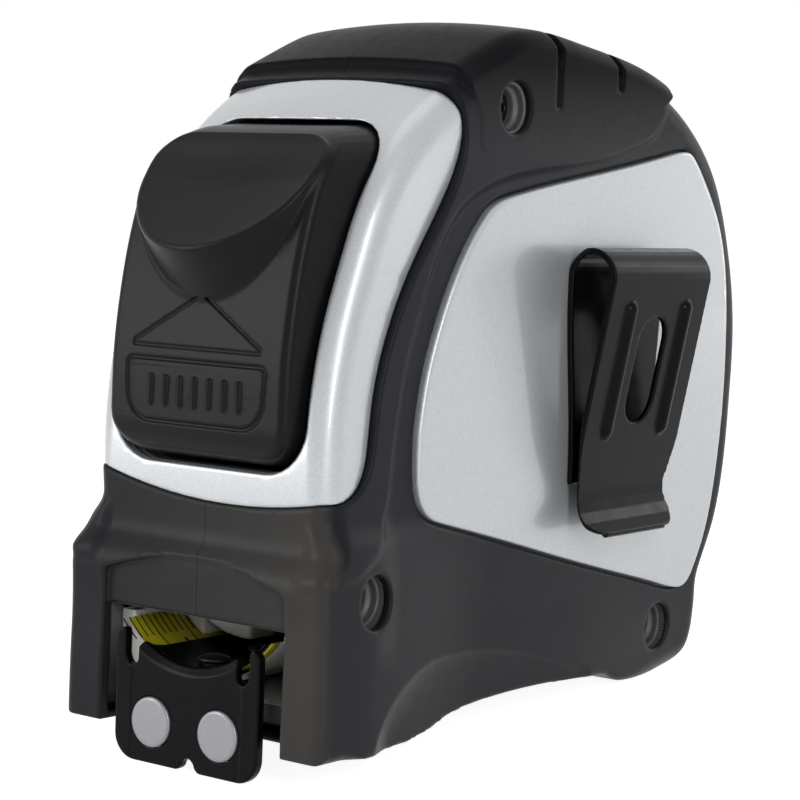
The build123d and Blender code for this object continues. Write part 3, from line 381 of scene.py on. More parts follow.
def skin_raise(x, y, z):
    """How far the skin stands off the plain body: shoulder, panel surround, grip and its grooves."""
    across = np.abs(x)
    shoulder = SHOULDER_SIDE(y, z)
    side = ease(across, BODY_HALF - 3.4, BODY_HALF - 1.2)
    soft = 1 - ease(shoulder, 0.0, SHOULDER_SLOPE)
    crisp = 1 - np.clip(shoulder / SHOULDER_SLOPE, 0, 1)
    fall = 0.5 * soft + 0.5 * crisp
    sink = WINDOW_SINK * ease(y, 9.0, 15.0) * ease(z, 8.0, 13.0)
    height = ((SHOULDER_RAISE + sink) * fall - sink) * side
    grip = 1 - ease(GRIP_SIDE(y, z), -0.35, 0.15)
    height = height * (1 - grip) + grip * (GRIP_RAISE + GRIP_SIDE_RAISE * side)
    for at, low in GROOVES:
        away = np.hypot(y - at, np.maximum(low + GROOVE_HALF - z, 0))
        height = height - GROOVE_DEPTH * (1 - ease(away, GROOVE_HALF - 0.4, GROOVE_HALF + 0.1)) * grip
    return height


def arch_form(x, y, z):
    """The sides with the cove above the feet."""
    share = np.clip((ARCH_LINE(y) - z) / ARCH_TALL, 0, 1)
    cove = ARCH_DEPTH * (share * (2 - share)) ** 0.7 * ease(y, 8.0, 14.0)
    return np.abs(x) - half_width(y, z) + cove - 0.4 * (share <= 0)


def under_form(form, x, y, z):
    """What the belly, the side arch, the lintel and the feet take from the form."""
    form = both(form, BELLY_LINE(y) - z, 0.8)
    form = both(form, arch_form(x, y, z), 0.12)
    top = LINTEL_TOP - (x / MOUTH_HALF) ** 2 * 2.5
    lintel = both(both(np.abs(x) - MOUTH_HALF - 0.1, z - top, 0.4), y - LINTEL_SINK, 0.2)
    return cut(form, lintel, 0.25)


def outer_form(x, y, z):
    """The skin's outside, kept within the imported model's box."""
    form = under_form(shell_form(x, y, z) - skin_raise(x, y, z), x, y, z)
    box = np.maximum(np.maximum(np.abs(x) - SKIN_HIGH[0], y - SKIN_HIGH[1]), slab(z, SKIN_LOW[2], SKIN_HIGH[2]))
    return both(form, box + BOX_GAP, 0.08)


def mouth(x, y, z):
    """The way through the nose for the blade and the hook."""
    across = np.abs(x) - MOUTH_HALF
    front = both(both(across, z - MOUTH_TOP, 0.5), y - JAW_BACK, 0.3)
    way = both(both(across, slab(z, SKIN + 2.0 + JAW_UNDER, MOUTH_TOP), 0.5), y - MOUTH_BACK, 0.3)
    under = both(both(across, z - JAW_UNDER, 0.5), y - JAW_UNDER_BACK, 0.3)
    return either(either(front, way, 0.3), under, 0.3)


def skin_field(side):
    """Field of the skin, with the screw seats on the side +1 (right) but not on -1 (left)."""
    def field(x, y, z):
        out = outer_form(x, y, z)
        inner = shell_form(x, y, z, -SKIN)
        inner = np.maximum(np.maximum(inner, BELLY_LINE(y) + SKIN - z), arch_form(x, y, z) + ARCH_SKIN)
        form = cut(out, inner, 0.2)
        form = cut(form, bezel_side(x, y, z) - 0.12, 0.3)
        form = cut(form, both(WINDOW_SIDE(y, z) - 0.05, 10.0 - np.abs(x), 0.2), 0.35)
        form = cut(form, mouth(x, y, z), 0.35)
        for at, up in SCREWS if side > 0 else ():
            form = cut(form, both(np.hypot(y - at, z - up) - SEAT_RADIUS, 8.0 - x, 0.2), 0.3)
        return form
    return field


def bezel_field(x, y, z):
    """The bezel: rounded front corners that end in a crease, flat flanks, and the button's opening."""
    across = np.abs(x)
    upper = ease(z, 58.0, 73.0)
    rim = BODY_SIDE(y, z) + (0.1 + 1.8 * upper) * (across / BODY_HALF) ** 2
    form = both(across - BODY_HALF - 0.05, rim, 3.0)
    flank = across - BODY_HALF + 0.1 * (-rim - 3.2)
    form = both(form, np.maximum(flank, across - BODY_HALF), 0.06)
    shell = cut(form, form + SKIN, 0.1)
    shell = both(shell, bezel_side(x, y, z), 0.25)
    return cut(shell, BUTTON_FRONT(x, z) - 0.35, 0.25)


def panel_field(x, y, z):
    """A side panel: a plate with a rounded rim."""
    return both(WINDOW_SIDE(y, z) + 0.12, slab(x, PANEL_LOW[0], PANEL_HIGH[0]), 0.5)


# ---- The button ----
BUTTON_HALF = 14.1
BUTTON_LOW = 31.7
BUTTON_TOP = 71.0
BUTTON_CORNER = 5.5
BUTTON_WALL = 2.0
BUTTON_DEEP = 8.0       # how far the cap reaches back from its face
BUTTON_FACE = [(31.2, 3.2), (32.2, 1.5), (33.6, 0.3), (35.2, -0.35), (37.5, -0.5), (44.0, -0.35), (47.5, 0.0),
               (52.0, 0.7), (56.7, 1.7), (60.5, 2.8), (63.5, 3.9), (66.5, 5.8), (69.0, 8.6), (70.6, 11.5),
               (71.6, 16.0)]        # (z, y) of its face
FACE_DRAFT = 0.75
PAD_HALF = 12.7
PAD_RIM = (-3.5, 56.3)      # (y, z) of the pad's front edge
PAD_TOP = (8.2, 69.7)
PAD_REACH = 5.3             # length of the pad behind its widest place
PAD_BACK = 14.0
PAD_DISH = 0.55
SCOOP = (-0.5, 51.8)        # foot of the scoop under the pad
ARROW = [(-0.3, 50.9), (0.3, 50.9), (9.3, 45.4), (9.3, 44.9), (-9.5, 44.9), (-9.5, 45.4)]
LABEL_TOP, LABEL_LOW, LABEL_HALF, LABEL_FOOT = 43.4, 36.3, 10.4, 10.0
RIBS = (-6.6, -4.4, -2.2, 0.0, 2.2, 4.4, 6.6)
RIB_Z = 39.9
RIB_HALF = 1.4


def rounded_corner(centre, radius, start, end, steps=8):
    """Points of an arc, its angles in degrees."""
    angles = np.radians(np.linspace(start, end, steps))
    return np.stack([centre[0] + radius * np.cos(angles), centre[1] + radius * np.sin(angles)], 1)


def button_outline():
    """Front view of the button: a rectangle with rounded corners."""
    half, low, high = BUTTON_HALF - BUTTON_CORNER, BUTTON_LOW + BUTTON_CORNER, BUTTON_TOP - BUTTON_CORNER
    return [rounded_corner(centre, BUTTON_CORNER, start, start + 90) for centre, start in (
        ((half, low), -90), ((half, high), 0), ((-half, high), 90), ((-half, low), 180))]


BUTTON_FRONT = Outline(*button_outline())
FACE_LINE = height_line(BUTTON_FACE)


def stroke(u, v, points):
    """Distance in one view to a line through points."""
    far = 1e9
    for (au, av), (bu, bv) in zip(points, points[1:]):
        du, dv = bu - au, bv - av
        square = du * du + dv * dv
        if square > 1e-9:
            share = np.clip(((u - au) * du + (v - av) * dv) / square, 0, 1)
            far = np.minimum(far, np.hypot(u - au - share * du, v - av - share * dv))
    return far


def label_line(x, z):
    """Distance inside the front view's rounded label box, negative inside."""
    half = LABEL_FOOT + (LABEL_HALF - LABEL_FOOT) * (z - LABEL_LOW) / (LABEL_TOP - LABEL_LOW)
    upper = both(np.abs(x) - half, z - LABEL_TOP, 0.9)
    return both(upper, LABEL_LOW - z, 3.2)


def button_field(x, y, z):
    """The button: a drafted block with a tilted thumb pad over a scoop, and an engraved face."""
    face = FACE_LINE(z)
    draft = FACE_DRAFT * (1 - np.clip((y - face) / 6.0, 0, 1))
    shape = both(BUTTON_FRONT(x, z) + draft, face - y, 1.1)
    tilt = math.atan2(PAD_TOP[1] - PAD_RIM[1], PAD_TOP[0] - PAD_RIM[0])
    centre = PAD_RIM[0] + PAD_HALF * math.cos(tilt), PAD_RIM[1] + PAD_HALF * math.sin(tilt)
    normal = -math.sin(tilt), math.cos(tilt)
    above = (y - centre[0]) * normal[0] + (z - centre[1]) * normal[1]
    run = SCOOP[0] - PAD_RIM[0], SCOOP[1] - PAD_RIM[1]
    back = above / (run[0] * normal[0] + run[1] * normal[1])
    up = (y - back * run[0] - centre[0]) * math.cos(tilt) + (z - back * run[1] - centre[1]) * math.sin(tilt)
    away = np.hypot(x, np.minimum(up, 0)) - PAD_HALF
    edge = both(np.where(up > 0, np.abs(x) - PAD_HALF, away), up - PAD_REACH, 4.5)
    dish = PAD_DISH * np.clip(-edge / PAD_HALF, 0, 1) ** 0.5
    pad = both(both(edge, above + dish, 0.55), y - PAD_BACK, 0.5)
    form = either(shape, pad, 0.5)
    depth = y - face
    form = cut(form, np.hypot(stroke(x, z, ARROW + ARROW[:1]), depth) - 0.22, 0.08)
    form = cut(form, np.hypot(label_line(x, z), depth) - 0.26, 0.08)
    for at in RIBS:
        rib = np.hypot(np.hypot(x - at, np.maximum(np.abs(z - RIB_Z) - RIB_HALF, 0)), depth) - 0.4
        form = either(form, rib, 0.12)
    inner = both(BUTTON_FRONT(x, z) + BUTTON_WALL, face + BUTTON_WALL - y, 0.3)
    return both(cut(form, inner, 0.1), y - face - BUTTON_DEEP, 0.2)


# ---- Colours ----
def linear(code):
    """Linear colour with alpha from an sRGB hex code."""
    parts = [int(code[i:i + 2], 16) / 255 for i in (0, 2, 4)]
    return [c / 12.92 if c <= 0.04045 else ((c + 0.055) / 1.055) ** 2.4 for c in parts] + [1.0]


def add(tree, kind, links=None, **settings):
    """Adds a node; links maps its inputs to sockets, and settings are properties or input values."""
    made = tree.nodes.new(kind)
    for key, value in settings.items():
        if hasattr(made, key):
            setattr(made, key, value)
        else:
            made.inputs[key.replace("_", " ")].default_value = value
    for key, source in (links or {}).items():
        tree.links.new(source, made.inputs[key])
    return made


def tint(source):
    """Linear colour from a hex code or from the name of one of the user's colours."""
    user = getattr(bpy.context.scene.tape_colours, source, None)
    return linear(source) if user is None else [*user, 1.0]


def material(name, colour, roughness, metallic=0.0, **settings):
    """A material with its Principled shader and object coordinates."""
    made = bpy.data.materials.new(name)
    made.use_nodes = True
    tree = made.node_tree
    shader = tree.nodes["Principled BSDF"]
    shader.inputs["Base Color"].default_value = tint(colour)
    shader.inputs["Roughness"].default_value = roughness
    shader.inputs["Metallic"].default_value = metallic
    for key, value in settings.items():
        shader.inputs[key.replace("_", " ")].default_value = value
    place = add(tree, "ShaderNodeTexCoord").outputs["Object"]
    return made, tree, shader, place


def mottle(tree, place, size, low, high, detail=2.0):
    """Noise with grains of a size in metres, as a value between two levels."""
    noise = add(tree, "ShaderNodeTexNoise", {"Vector": place}, Scale=1 / size, Detail=detail)
    return ramp(tree, noise.outputs["Fac"], 0.3, 0.7, low, high)


def shade(tree, shader, colour, factor):
    """Base colour of a shader, darkened or lightened by a factor."""
    mixed = add(tree, "ShaderNodeMix", data_type="RGBA", blend_type="MULTIPLY")
    mixed.inputs["Factor"].default_value = 1.0
    mixed.inputs[6].default_value = tint(colour)
    tree.links.new(factor, mixed.inputs[7])
    tree.links.new(mixed.outputs[2], shader.inputs["Base Color"])


def grain(tree, shader, place, size, strength, distance=0.00004):
    """Fine surface relief with grains of a size in metres."""
    noise = add(tree, "ShaderNodeTexNoise", {"Vector": place}, Scale=1 / size, Detail=2.0)
    bump = add(tree, "ShaderNodeBump", {"Height": noise.outputs["Fac"]}, Strength=strength, Distance=distance)
    tree.links.new(bump.outputs["Normal"], shader.inputs["Normal"])


def math_node(tree, operation, *values):
    """The result of a math node whose inputs are numbers or sockets."""
    made = add(tree, "ShaderNodeMath", operation=operation)
    for i, value in enumerate(values):
        if isinstance(value, (int, float)):
            made.inputs[i].default_value = value
        else:
            tree.links.new(value, made.inputs[i])
    return made.outputs[0]


def ramp(tree, value, start, end, low, high):
    """A value carried from one range to another, held at its ends."""
    return add(tree, "ShaderNodeMapRange", {"Value": value}, From_Min=start, From_Max=end, To_Min=low,
               To_Max=high).outputs["Result"]


RUBBER = "moulded_soft_touch_rubber"
# From and to, in metres, and the levels there:
NOSE_STEP = (0.0195, 0.0228, 0.0, 0.0019)       # heights over which the nose's face steps back, and how far
FRONT_REFLECTION_DEPTH = (0.0006, 0.0018, 1.0, 0.0)        # the painted reflection on the front faces ends behind the face
FRONT_REFLECTION_ACROSS = (-0.016, 0.016, 0.05, 0.75)      # and grows from left to right
GRIP_TOP_SHADE = (0.069, 0.079, 1.0, 0.42)         # painted shade: the grip gets darker with height


def soft_touch_rubber():
    # Moulded thermoplastic rubber: satin charcoal with a very fine tooth. Painted reflection: the nose's front faces
    # are painted paler, more so towards the right. Painted shade: the grip is painted darker with height, its gloss
    # drops with it.
    made, tree, shader, place = material(RUBBER, "rubber", 0.36, Specular_IOR_Level=0.16)
    apart = add(tree, "ShaderNodeSeparateXYZ", {"Vector": place}).outputs
    # Painted reflection: the nose's front faces get a paler colour (4A4845), more so towards the right.
    step_back = ramp(tree, apart["Z"], *NOSE_STEP)
    front_reflection = ramp(tree, math_node(tree, "SUBTRACT", apart["Y"], step_back), *FRONT_REFLECTION_DEPTH)
    sideways = ramp(tree, apart["X"], *FRONT_REFLECTION_ACROSS)
    mixed = add(tree, "ShaderNodeMix", {"Factor": math_node(tree, "MULTIPLY", front_reflection, sideways)}, data_type="RGBA")
    mixed.inputs[6].default_value = tint("rubber")
    mixed.inputs[7].default_value = tint("4A4845")
    # Painted shade: the grip's colour is darkened with height, and its gloss is lowered with the same ramp.
    top_shade = ramp(tree, apart["Z"], *GRIP_TOP_SHADE)
    level = math_node(tree, "MULTIPLY", top_shade, mottle(tree, place, 0.004, 0.94, 1.06))
    shaded = add(tree, "ShaderNodeMix", {6: mixed.outputs[2], 7: level}, data_type="RGBA", blend_type="MULTIPLY")
    shaded.inputs["Factor"].default_value = 1.0
    tree.links.new(shaded.outputs[2], shader.inputs["Base Color"])
    gloss = math_node(tree, "SUBTRACT", math_node(tree, "MULTIPLY", top_shade, 0.13), 0.03)
    tree.links.new(gloss, shader.inputs["Specular IOR Level"])
    tree.links.new(mottle(tree, place, 0.0012, 0.33, 0.4), shader.inputs["Roughness"])
    grain(tree, shader, place, 0.00022, 0.35)
    return made


def plain(name, colour, roughness, metallic=0.0, tone=None, rough=None, relief=None, turn=None, **settings):
    """A material with mottled colour and roughness and fine relief, each where given as grain size and levels."""
    made, tree, shader, place = material(name, colour, roughness, metallic, **settings)
    if turn:
        place = add(tree, "ShaderNodeMapping", {"Vector": place}, Rotation=turn, Scale=(1.0, 1.0, 9.0)).outputs[0]
    if tone:
        shade(tree, shader, colour, mottle(tree, place, *tone))
    if rough:
        tree.links.new(mottle(tree, place, *rough), shader.inputs["Roughness"])
    if relief:
        grain(tree, shader, place, *relief)
    return made


PLAIN = {
    # Sprayed metallic lacquer on ABS: pale silver with fine flake under a clear coat.
    "sprayed_silver_lacquer": dict(colour="lacquer", roughness=0.36, metallic=0.35, Coat_Weight=0.8,
                                   Coat_Roughness=0.06, tone=(0.00024, 0.93, 1.05, 1.0), relief=(0.0003, 0.12)),
    # Moulded ABS with a spark-eroded texture: near black, with a broken soft sheen.
    "spark_textured_ABS": dict(colour="button", roughness=0.33, Specular_IOR_Level=0.12, tone=(0.002, 0.93, 1.07),
                               relief=(0.00018, 0.6, 0.00003)),
    # Pressed steel with a baked black coat: deep, smooth and half glossy.
    "baked_black_coated_steel": dict(colour="coat", roughness=0.2, Specular_IOR_Level=0.08,
                                     rough=(0.0035, 0.2, 0.28), relief=(0.0006, 0.15)),
    # Nickel-plated magnet: pale grey, finely scratched across one diagonal.
    "nickel_plated_magnet": dict(colour="8C8C90", roughness=0.38, metallic=0.75, turn=(0.0, 0.9, 0.0),
                                 tone=(0.0008, 0.86, 1.08, 4.0), rough=(0.0005, 0.3, 0.48, 3.0)),
    # Steel strip with baked yellow lacquer and a clear nylon film: even yellow with a soft gloss.
    "yellow_lacquered_steel": dict(colour="blade", roughness=0.34, Coat_Weight=0.4, Coat_Roughness=0.2,
                                   tone=(0.003, 0.95, 1.04), relief=(0.0004, 0.1)),
    # Black scale ink under the film: flat black.
    "black_scale_ink": dict(colour="17170F", roughness=0.5, relief=(0.0003, 0.1)),
    # Moulded natural nylon: milky white with a soft waxy gloss.
    "moulded_white_nylon": dict(colour="nylon", roughness=0.36, Subsurface_Weight=0.15, Subsurface_Scale=0.001,
                                tone=(0.002, 0.95, 1.03), relief=(0.0005, 0.15)),
    # Moulded grey ABS of the case: dull mid grey, seen in the screw seats.
    "moulded_grey_ABS": dict(colour="5E5E60", roughness=0.42, tone=(0.0015, 0.92, 1.06), relief=(0.0003, 0.3)),
    # Screws with black oxide: dark metal with a faint sheen.
    "black_oxide_steel": dict(colour="2A2A2C", roughness=0.36, metallic=0.8, tone=(0.001, 0.8, 1.15),
                              relief=(0.0003, 0.2)),
    # Bright drawn spring steel: clean pale metal, drawn a little uneven.
    "drawn_spring_steel": dict(colour="9C9DA0", roughness=0.3, metallic=1.0, rough=(0.0006, 0.25, 0.42),
                               relief=(0.0004, 0.1)),
}
FINISHES = {}


def finish(name):
    """The one material of a name."""
    if name not in FINISHES:
        FINISHES[name] = soft_touch_rubber() if name == RUBBER else plain(name, **PLAIN[name])
    return FINISHES[name]


# ---- Hook, magnets, rivets, guide, clip and screws ----
CUP_RADIUS = 14.4       # underside of the cupped blade
CUP_Z = 21.7            # height of the cup's centre line
BLADE_HALF = 10.85       # half the cupped blade's width, where its marks start
BLADE_THICK = 0.25
NUMERALS = 6
NUMERAL_EDGE = -4.6      # x where the numbers end, beside the marks
TAB_LOW = 7.6
TAB_HIGH = 8.4
TAB_BACK = 18.0
HOOK_HALF = 10.9
HOOK_FACE = -0.5
HOOK_BACK = 0.7
HOOK_LOW = -3.5
HORN_TOP = 11.9
NOTCH_X = 8.4
MAGNET = (5.1, 1.4, 2.95)
MAGNET_PROUD = 0.3
RIVETS = (4.4, 13.0)
RIVET_SLIDE = 1.2       # length of the hook's slots past the rivet
RIVET_FOOT = 6.86
RIVET_TOP = 9.5
GUIDE_HALF = 13.55
GUIDE_FOOT = 5.43
GUIDE_BACK = 28.0
GUIDE_TOP = 12.6
CHEEK_TOP = 13.9
CHEEK_HALF = 11.3       # half the way between the guide's cheeks
ROOF = (9.9, 17.9)      # height of the roof's underside, and its back end
# corners of a dark block above the blade behind the mouth, put there as painted shade
SHADE_BLOCK = ((-1.0, 16.2, 9.9), (13.4, 17.9, 13.9))
CLIP_CENTRE = (58.3, 42.1)
CLIP_BACK_X = BODY_HALF + 0.72
CLIP_ROLL = 3.4
CLIP_TOP = 57.0
CLIP_PINCH = 27.0
CLIP_LIP = 21.6
CLIP_HALF = 11.6
CLIP_CORNER = 4.6
CLIP_SCREW_TOP = 19.85


def block(x, y, z, low, high, radius):
    """A box with rounded edges."""
    first = both(slab(x, low[0], high[0]), slab(y, low[1], high[1]), radius)
    return both(first, slab(z, low[2], high[2]), radius)


def hook_field(x, y, z):
    """The hook: a pressed plate bent back into a cupped tab, with horns and notches."""
    across = np.abs(x)
    rise = CUP_Z - np.hypot(x, z - CUP_Z)
    outline = both(both(across - HOOK_HALF, HOOK_LOW - z, 3.0), z - HORN_TOP, 1.3)
    nick = both(np.abs(x - 0.5) - 1.2 + (z - HOOK_LOW) * 0.35, z - HOOK_LOW - 1.5, 0.7)
    outline = cut(outline, nick, 0.7)
    notch = np.hypot(across - NOTCH_X, np.maximum(8.6 - z, 0)) - 0.9
    mouthed = both(across - NOTCH_X - 0.9, 9.4 + (NOTCH_X - across) * 0.9 - z, 0.5)
    outline = cut(outline, either(notch, both(mouthed, 6.2 - across, 0.3), 0.5), 0.8)
    plate = both(outline, slab(y, HOOK_FACE, HOOK_BACK), 0.22)
    centre = both(both(plate, HOOK_FACE - y, 0.2), both(rise - TAB_HIGH, HOOK_FACE - y, 1.3), 0.05)
    plate = np.where(across < NOTCH_X, centre, plate)
    half = np.interp(y, [0.0, 2.5, 16.0, TAB_BACK], [7.0, 6.3, 6.2, 5.2])
    tab = both(slab(rise, TAB_LOW, TAB_HIGH), slab(y, 0.1, TAB_BACK), 0.15)
    tab = both(tab, across - half, 0.3)
    form = either(plate, tab, 0.4)
    form = cut(form, np.hypot(across - MAGNET[0], z - MAGNET[1]) - MAGNET[2] - 0.04, 0.15)
    for at in RIVETS:
        slot = np.hypot(x, np.maximum(slab(y, at, at + RIVET_SLIDE), 0)) - 1.65
        form = cut(form, np.maximum(slot, 2 - z), 0.1)
    return form


def magnet_field(x, y, z):
    """Both magnets, a little proud of the hook's face."""
    disc = np.hypot(np.abs(x) - MAGNET[0], z - MAGNET[1]) - MAGNET[2]
    return both(disc, slab(y, HOOK_FACE - MAGNET_PROUD, HOOK_BACK), 0.28)


def rivet_field(x, y, z):
    """One rivet at the origin of its length: shank, foot and domed head."""
    out = np.hypot(x, y)
    head = both(out - 2.0, slab(z, 8.72, RIVET_TOP - 0.12 * out * out), 0.3)
    shank = both(out - 1.5, slab(z, 6.9, 9.0), 0.1)
    foot = both(out - 1.95, slab(z, RIVET_FOOT, RIVET_FOOT + 0.2), 0.08)
    return np.minimum(np.minimum(head, shank), foot)


def guide_field(x, y, z):
    """The nylon saddle that the cupped blade runs on, with a roof over the blade behind the hook's tab."""
    across = np.abs(x)
    rise = CUP_Z - np.hypot(x, z - CUP_Z)
    low, high = (GUIDE_HALF, GUIDE_BACK, GUIDE_TOP), (GUIDE_HALF, GUIDE_BACK, CHEEK_TOP)
    form = block(across, y, z, (-20, 3.0, GUIDE_FOOT), low, 0.35)
    cheek = block(across, y, z, (CHEEK_HALF, 3.0, GUIDE_FOOT), high, 0.35)
    lip = block(across, y, z, (7.0, 10.3, GUIDE_FOOT), high, 0.3)
    roof_front = 10.6 + 0.35 * np.maximum(x + 6.0, 0)
    roof = block(x, y, z, (-9.0, roof_front, ROOF[0]), (-1.2, ROOF[1], CHEEK_TOP), 0.3)
    apron = block(x, y, z, (5.2, 1.35, GUIDE_FOOT), (GUIDE_HALF, 3.4, GUIDE_TOP), 0.25)
    form = np.minimum(np.minimum(form, cheek), apron)
    out = np.hypot(x, z - CUP_Z)
    form = cut(form, both(out - CUP_RADIUS - np.where(y < 3.0, 0.04, 0.15), across - CHEEK_HALF, 0.2), 0.2)
    form = either(form, np.minimum(lip, roof), 0.2)
    way = both(both(out - CUP_RADIUS - 0.15, CUP_RADIUS - 0.6 - out, 0.1), across - 11.2, 0.1)
    form = cut(form, way, 0.15)
    form = cut(form, both(slab(rise, 7.0, 9.7), across - 7.1, 0.2), 0.2)
    return cut(form, block(across, y, z, (-9, -9, 6.3), (2.3, 16.3, 9.8), 0.2), 0.2)


def baffle_field(x, y, z):
    """A dark rubber block above the blade behind the mouth, standing in for the shade there: painted shade."""
    return block(x, y, z, *SHADE_BLOCK, 0.3)


def clip_line():
    """Side line (x, z) of the bent clip, from the back leg over the roll to the lip."""
    roll_z = CLIP_TOP - CLIP_ROLL
    arc = rounded_corner((CLIP_BACK_X + CLIP_ROLL, roll_z), CLIP_ROLL, 180, 0, 15)
    pinch = (CLIP_BACK_X + 1.7, CLIP_PINCH)
    lip = [(pinch[0] + 0.05, CLIP_PINCH - 1.4), (pinch[0] + 0.45, CLIP_PINCH - 2.8),
           (pinch[0] + 1.3, CLIP_PINCH - 4.2), (pinch[0] + 2.6, CLIP_LIP)]
    return [(CLIP_BACK_X, CLIP_PINCH + 1.0), *map(tuple, arc), pinch, *lip]


CLIP_PATH = clip_line()


def clip_field(x, y, z):
    """The belt clip: a bent strip with a rolled top, an oval hole and two pressed ribs."""
    off = y - CLIP_CENTRE[0] - 0.35
    up = z - CLIP_CENTRE[1]
    front = CLIP_BACK_X + 2.2 - x
    half = CLIP_HALF - (0.9 + 1.6 * ease(z, 52.0, 30.0)) * ease(x, CLIP_BACK_X + 3.4, CLIP_BACK_X + 0.8)
    strip = both(stroke(x, z, CLIP_PATH) - 0.4, np.abs(off) - half, 0.22)
    under, past = CLIP_LIP + CLIP_CORNER - z, np.abs(off) - half + CLIP_CORNER
    round_off = np.hypot(np.maximum(under, 0), np.maximum(past, 0)) - CLIP_CORNER
    strip = np.where((under > 0) & (past > 0), both(strip, round_off, 0.22), strip)
    hole = np.hypot(off, np.maximum(np.abs(up) - 3.6, 0)) - 3.2
    strip = cut(strip, both(hole, front, 0.1), 0.25)
    strip = cut(strip, both(np.hypot(y - CLIP_CENTRE[0], up) - 1.6, -front, 0.1), 0.1)
    top = (CLIP_BACK_X + 2 * CLIP_ROLL, CLIP_TOP - CLIP_ROLL)
    lean = (top[0] - CLIP_BACK_X - 1.7) / (top[1] - CLIP_PINCH)
    leaf_x = CLIP_BACK_X + 1.7 + lean * (z - CLIP_PINCH)
    rib = np.hypot(np.hypot(np.abs(off) - 6.6, np.maximum(np.abs(up) - 7.65, 0)), x - leaf_x - 0.1) - 1.1
    rib = both(rib, leaf_x - x, 0.1)
    return either(strip, rib, 0.25)


def screw_field(x, y, z):
    """A case screw on the origin's axis: shank, domed head and six-lobed recess."""
    out = np.hypot(y, z)
    turn = np.arctan2(z, y)
    head = both(out - 2.8, slab(x, SCREW_HEAD_X - 2.0, SCREW_HEAD_X - 0.03 * out * out), 0.35)
    shank = both(out - 1.5, slab(x, -9.0, SCREW_HEAD_X - 1.0), 0.2)
    recess = both(out - 1.35 - 0.32 * np.cos(6 * turn), SCREW_HEAD_X - 1.6 - x, 0.1)
    return cut(np.minimum(head, shank), recess, 0.15)


def seat_field(x, y, z):
    """The plastic sleeve in a screw seat: a wall with a bevelled ledge around the screw's head."""
    out = np.hypot(y, z)
    ring = both(out - SEAT_RADIUS - 0.35, slab(x, SCREW_HEAD_X - 1.5, SCREW_HEAD_X + 2.0), 0.15)
    bore = out - 2.75 + 0.5 * (1 - ease(x, SCREW_HEAD_X + 0.6, SCREW_HEAD_X + 1.1))
    return cut(ring, bore, 0.12)


def clip_screw_field(x, y, z):
    """The clip's pan-head screw with a cross recess."""
    off, up = y - CLIP_CENTRE[0], z - CLIP_CENTRE[1]
    out = np.hypot(off, up)
    top = CLIP_SCREW_TOP
    head = both(out - 2.5, slab(x, top - 1.1, top - 0.05 * out * out), 0.35)
    shank = both(out - 1.5, slab(x, 11.75, 19.2), 0.1)
    cross = np.minimum(both(np.abs(off) - 0.4, np.abs(up) - 1.6, 0.1), both(np.abs(up) - 0.4, np.abs(off) - 1.6, 0.1))
    return cut(np.minimum(head, shank), both(cross, top - 0.7 - x, 0.1), 0.08)


# ---- Repeated pieces, laid out by geometry nodes ----
def tree_with(name, **inputs):
    """A geometry node tree with a geometry input, named inputs, a finish and a geometry output."""
    tree = bpy.data.node_groups.new(name, "GeometryNodeTree")
    tree.interface.new_socket("Geometry", in_out="INPUT", socket_type="NodeSocketGeometry")
    for title, kind in {**inputs, "Finish": "Material"}.items():
        tree.interface.new_socket(title.replace("_", " "), in_out="INPUT", socket_type="NodeSocket" + kind)
    tree.interface.new_socket("Geometry", in_out="OUTPUT", socket_type="NodeSocketGeometry")
    return tree, add(tree, "NodeGroupInput").outputs


def painted(tree, geometry, material_socket):
    """Ends a tree: its instances made real, with the finish set, to the output."""
    real = add(tree, "GeometryNodeRealizeInstances", {"Geometry": geometry})
    done = add(tree, "GeometryNodeSetMaterial", {"Geometry": real.outputs[0], "Material": material_socket})
    add(tree, "NodeGroupOutput", {"Geometry": done.outputs[0]})
    return tree


def laid_out(name, tree, values, start=None):
    """Runs a tree on a new piece with its inputs set, and returns the plain mesh it makes."""
    base = start or bpy.data.objects.new(name + "_base", bpy.data.meshes.new(name + "_base"))
    if base.name not in bpy.context.scene.collection.objects:
        bpy.context.scene.collection.objects.link(base)
    modifier = base.modifiers.new("Layout", "NODES")
    modifier.node_group = tree
    sockets = {item.name: item.identifier for item in tree.interface.items_tree if item.in_out == "INPUT"}
    for title, value in values.items():
        modifier[sockets[title]] = value
    bpy.context.view_layer.update()
    seen = base.evaluated_get(bpy.context.evaluated_depsgraph_get())
    mesh = bpy.data.meshes.new_from_object(seen)
    mesh.name = name
    base.modifiers.remove(modifier)
    bpy.data.objects.remove(base)
    if not mesh.polygons:
        raise RuntimeError(f"{name} came out empty")
    piece = bpy.data.objects.new(name, mesh)
    bpy.context.scene.collection.objects.link(piece)
    return piece


def spread_tree(name, places):
    """A tree that sets its own geometry at a few named places."""
    tree, given = tree_with(name, **{f"Place_{i + 1}": "Vector" for i in range(places)})
    join = add(tree, "GeometryNodeJoinGeometry")
    for i in range(places):
        point = add(tree, "GeometryNodePoints", {"Position": given[f"Place {i + 1}"]}, Count=1)
        tree.links.new(point.outputs[0], join.inputs[0])
    spread = add(tree, "GeometryNodeInstanceOnPoints", {"Points": join.outputs[0], "Instance": given["Geometry"]})
    return painted(tree, spread.outputs[0], given["Finish"])


def cupped(tree, geometry, radius, centre):
    """Bends flat geometry onto the cupped blade, whose centre line is at a height."""
    x, y, z = add(tree, "ShaderNodeSeparateXYZ", {0: add(tree, "GeometryNodeInputPosition").outputs[0]}).outputs
    square = math_node(tree, "MULTIPLY", x, x)
    deep = math_node(tree, "SQRT", math_node(tree, "SUBTRACT", math_node(tree, "MULTIPLY", radius, radius), square))
    up = math_node(tree, "SUBTRACT", math_node(tree, "ADD", centre, z), deep)
    spot = add(tree, "ShaderNodeCombineXYZ", {0: x, 1: y, 2: up})
    return add(tree, "GeometryNodeSetPosition", {"Geometry": geometry, "Position": spot.outputs[0]}).outputs[0]


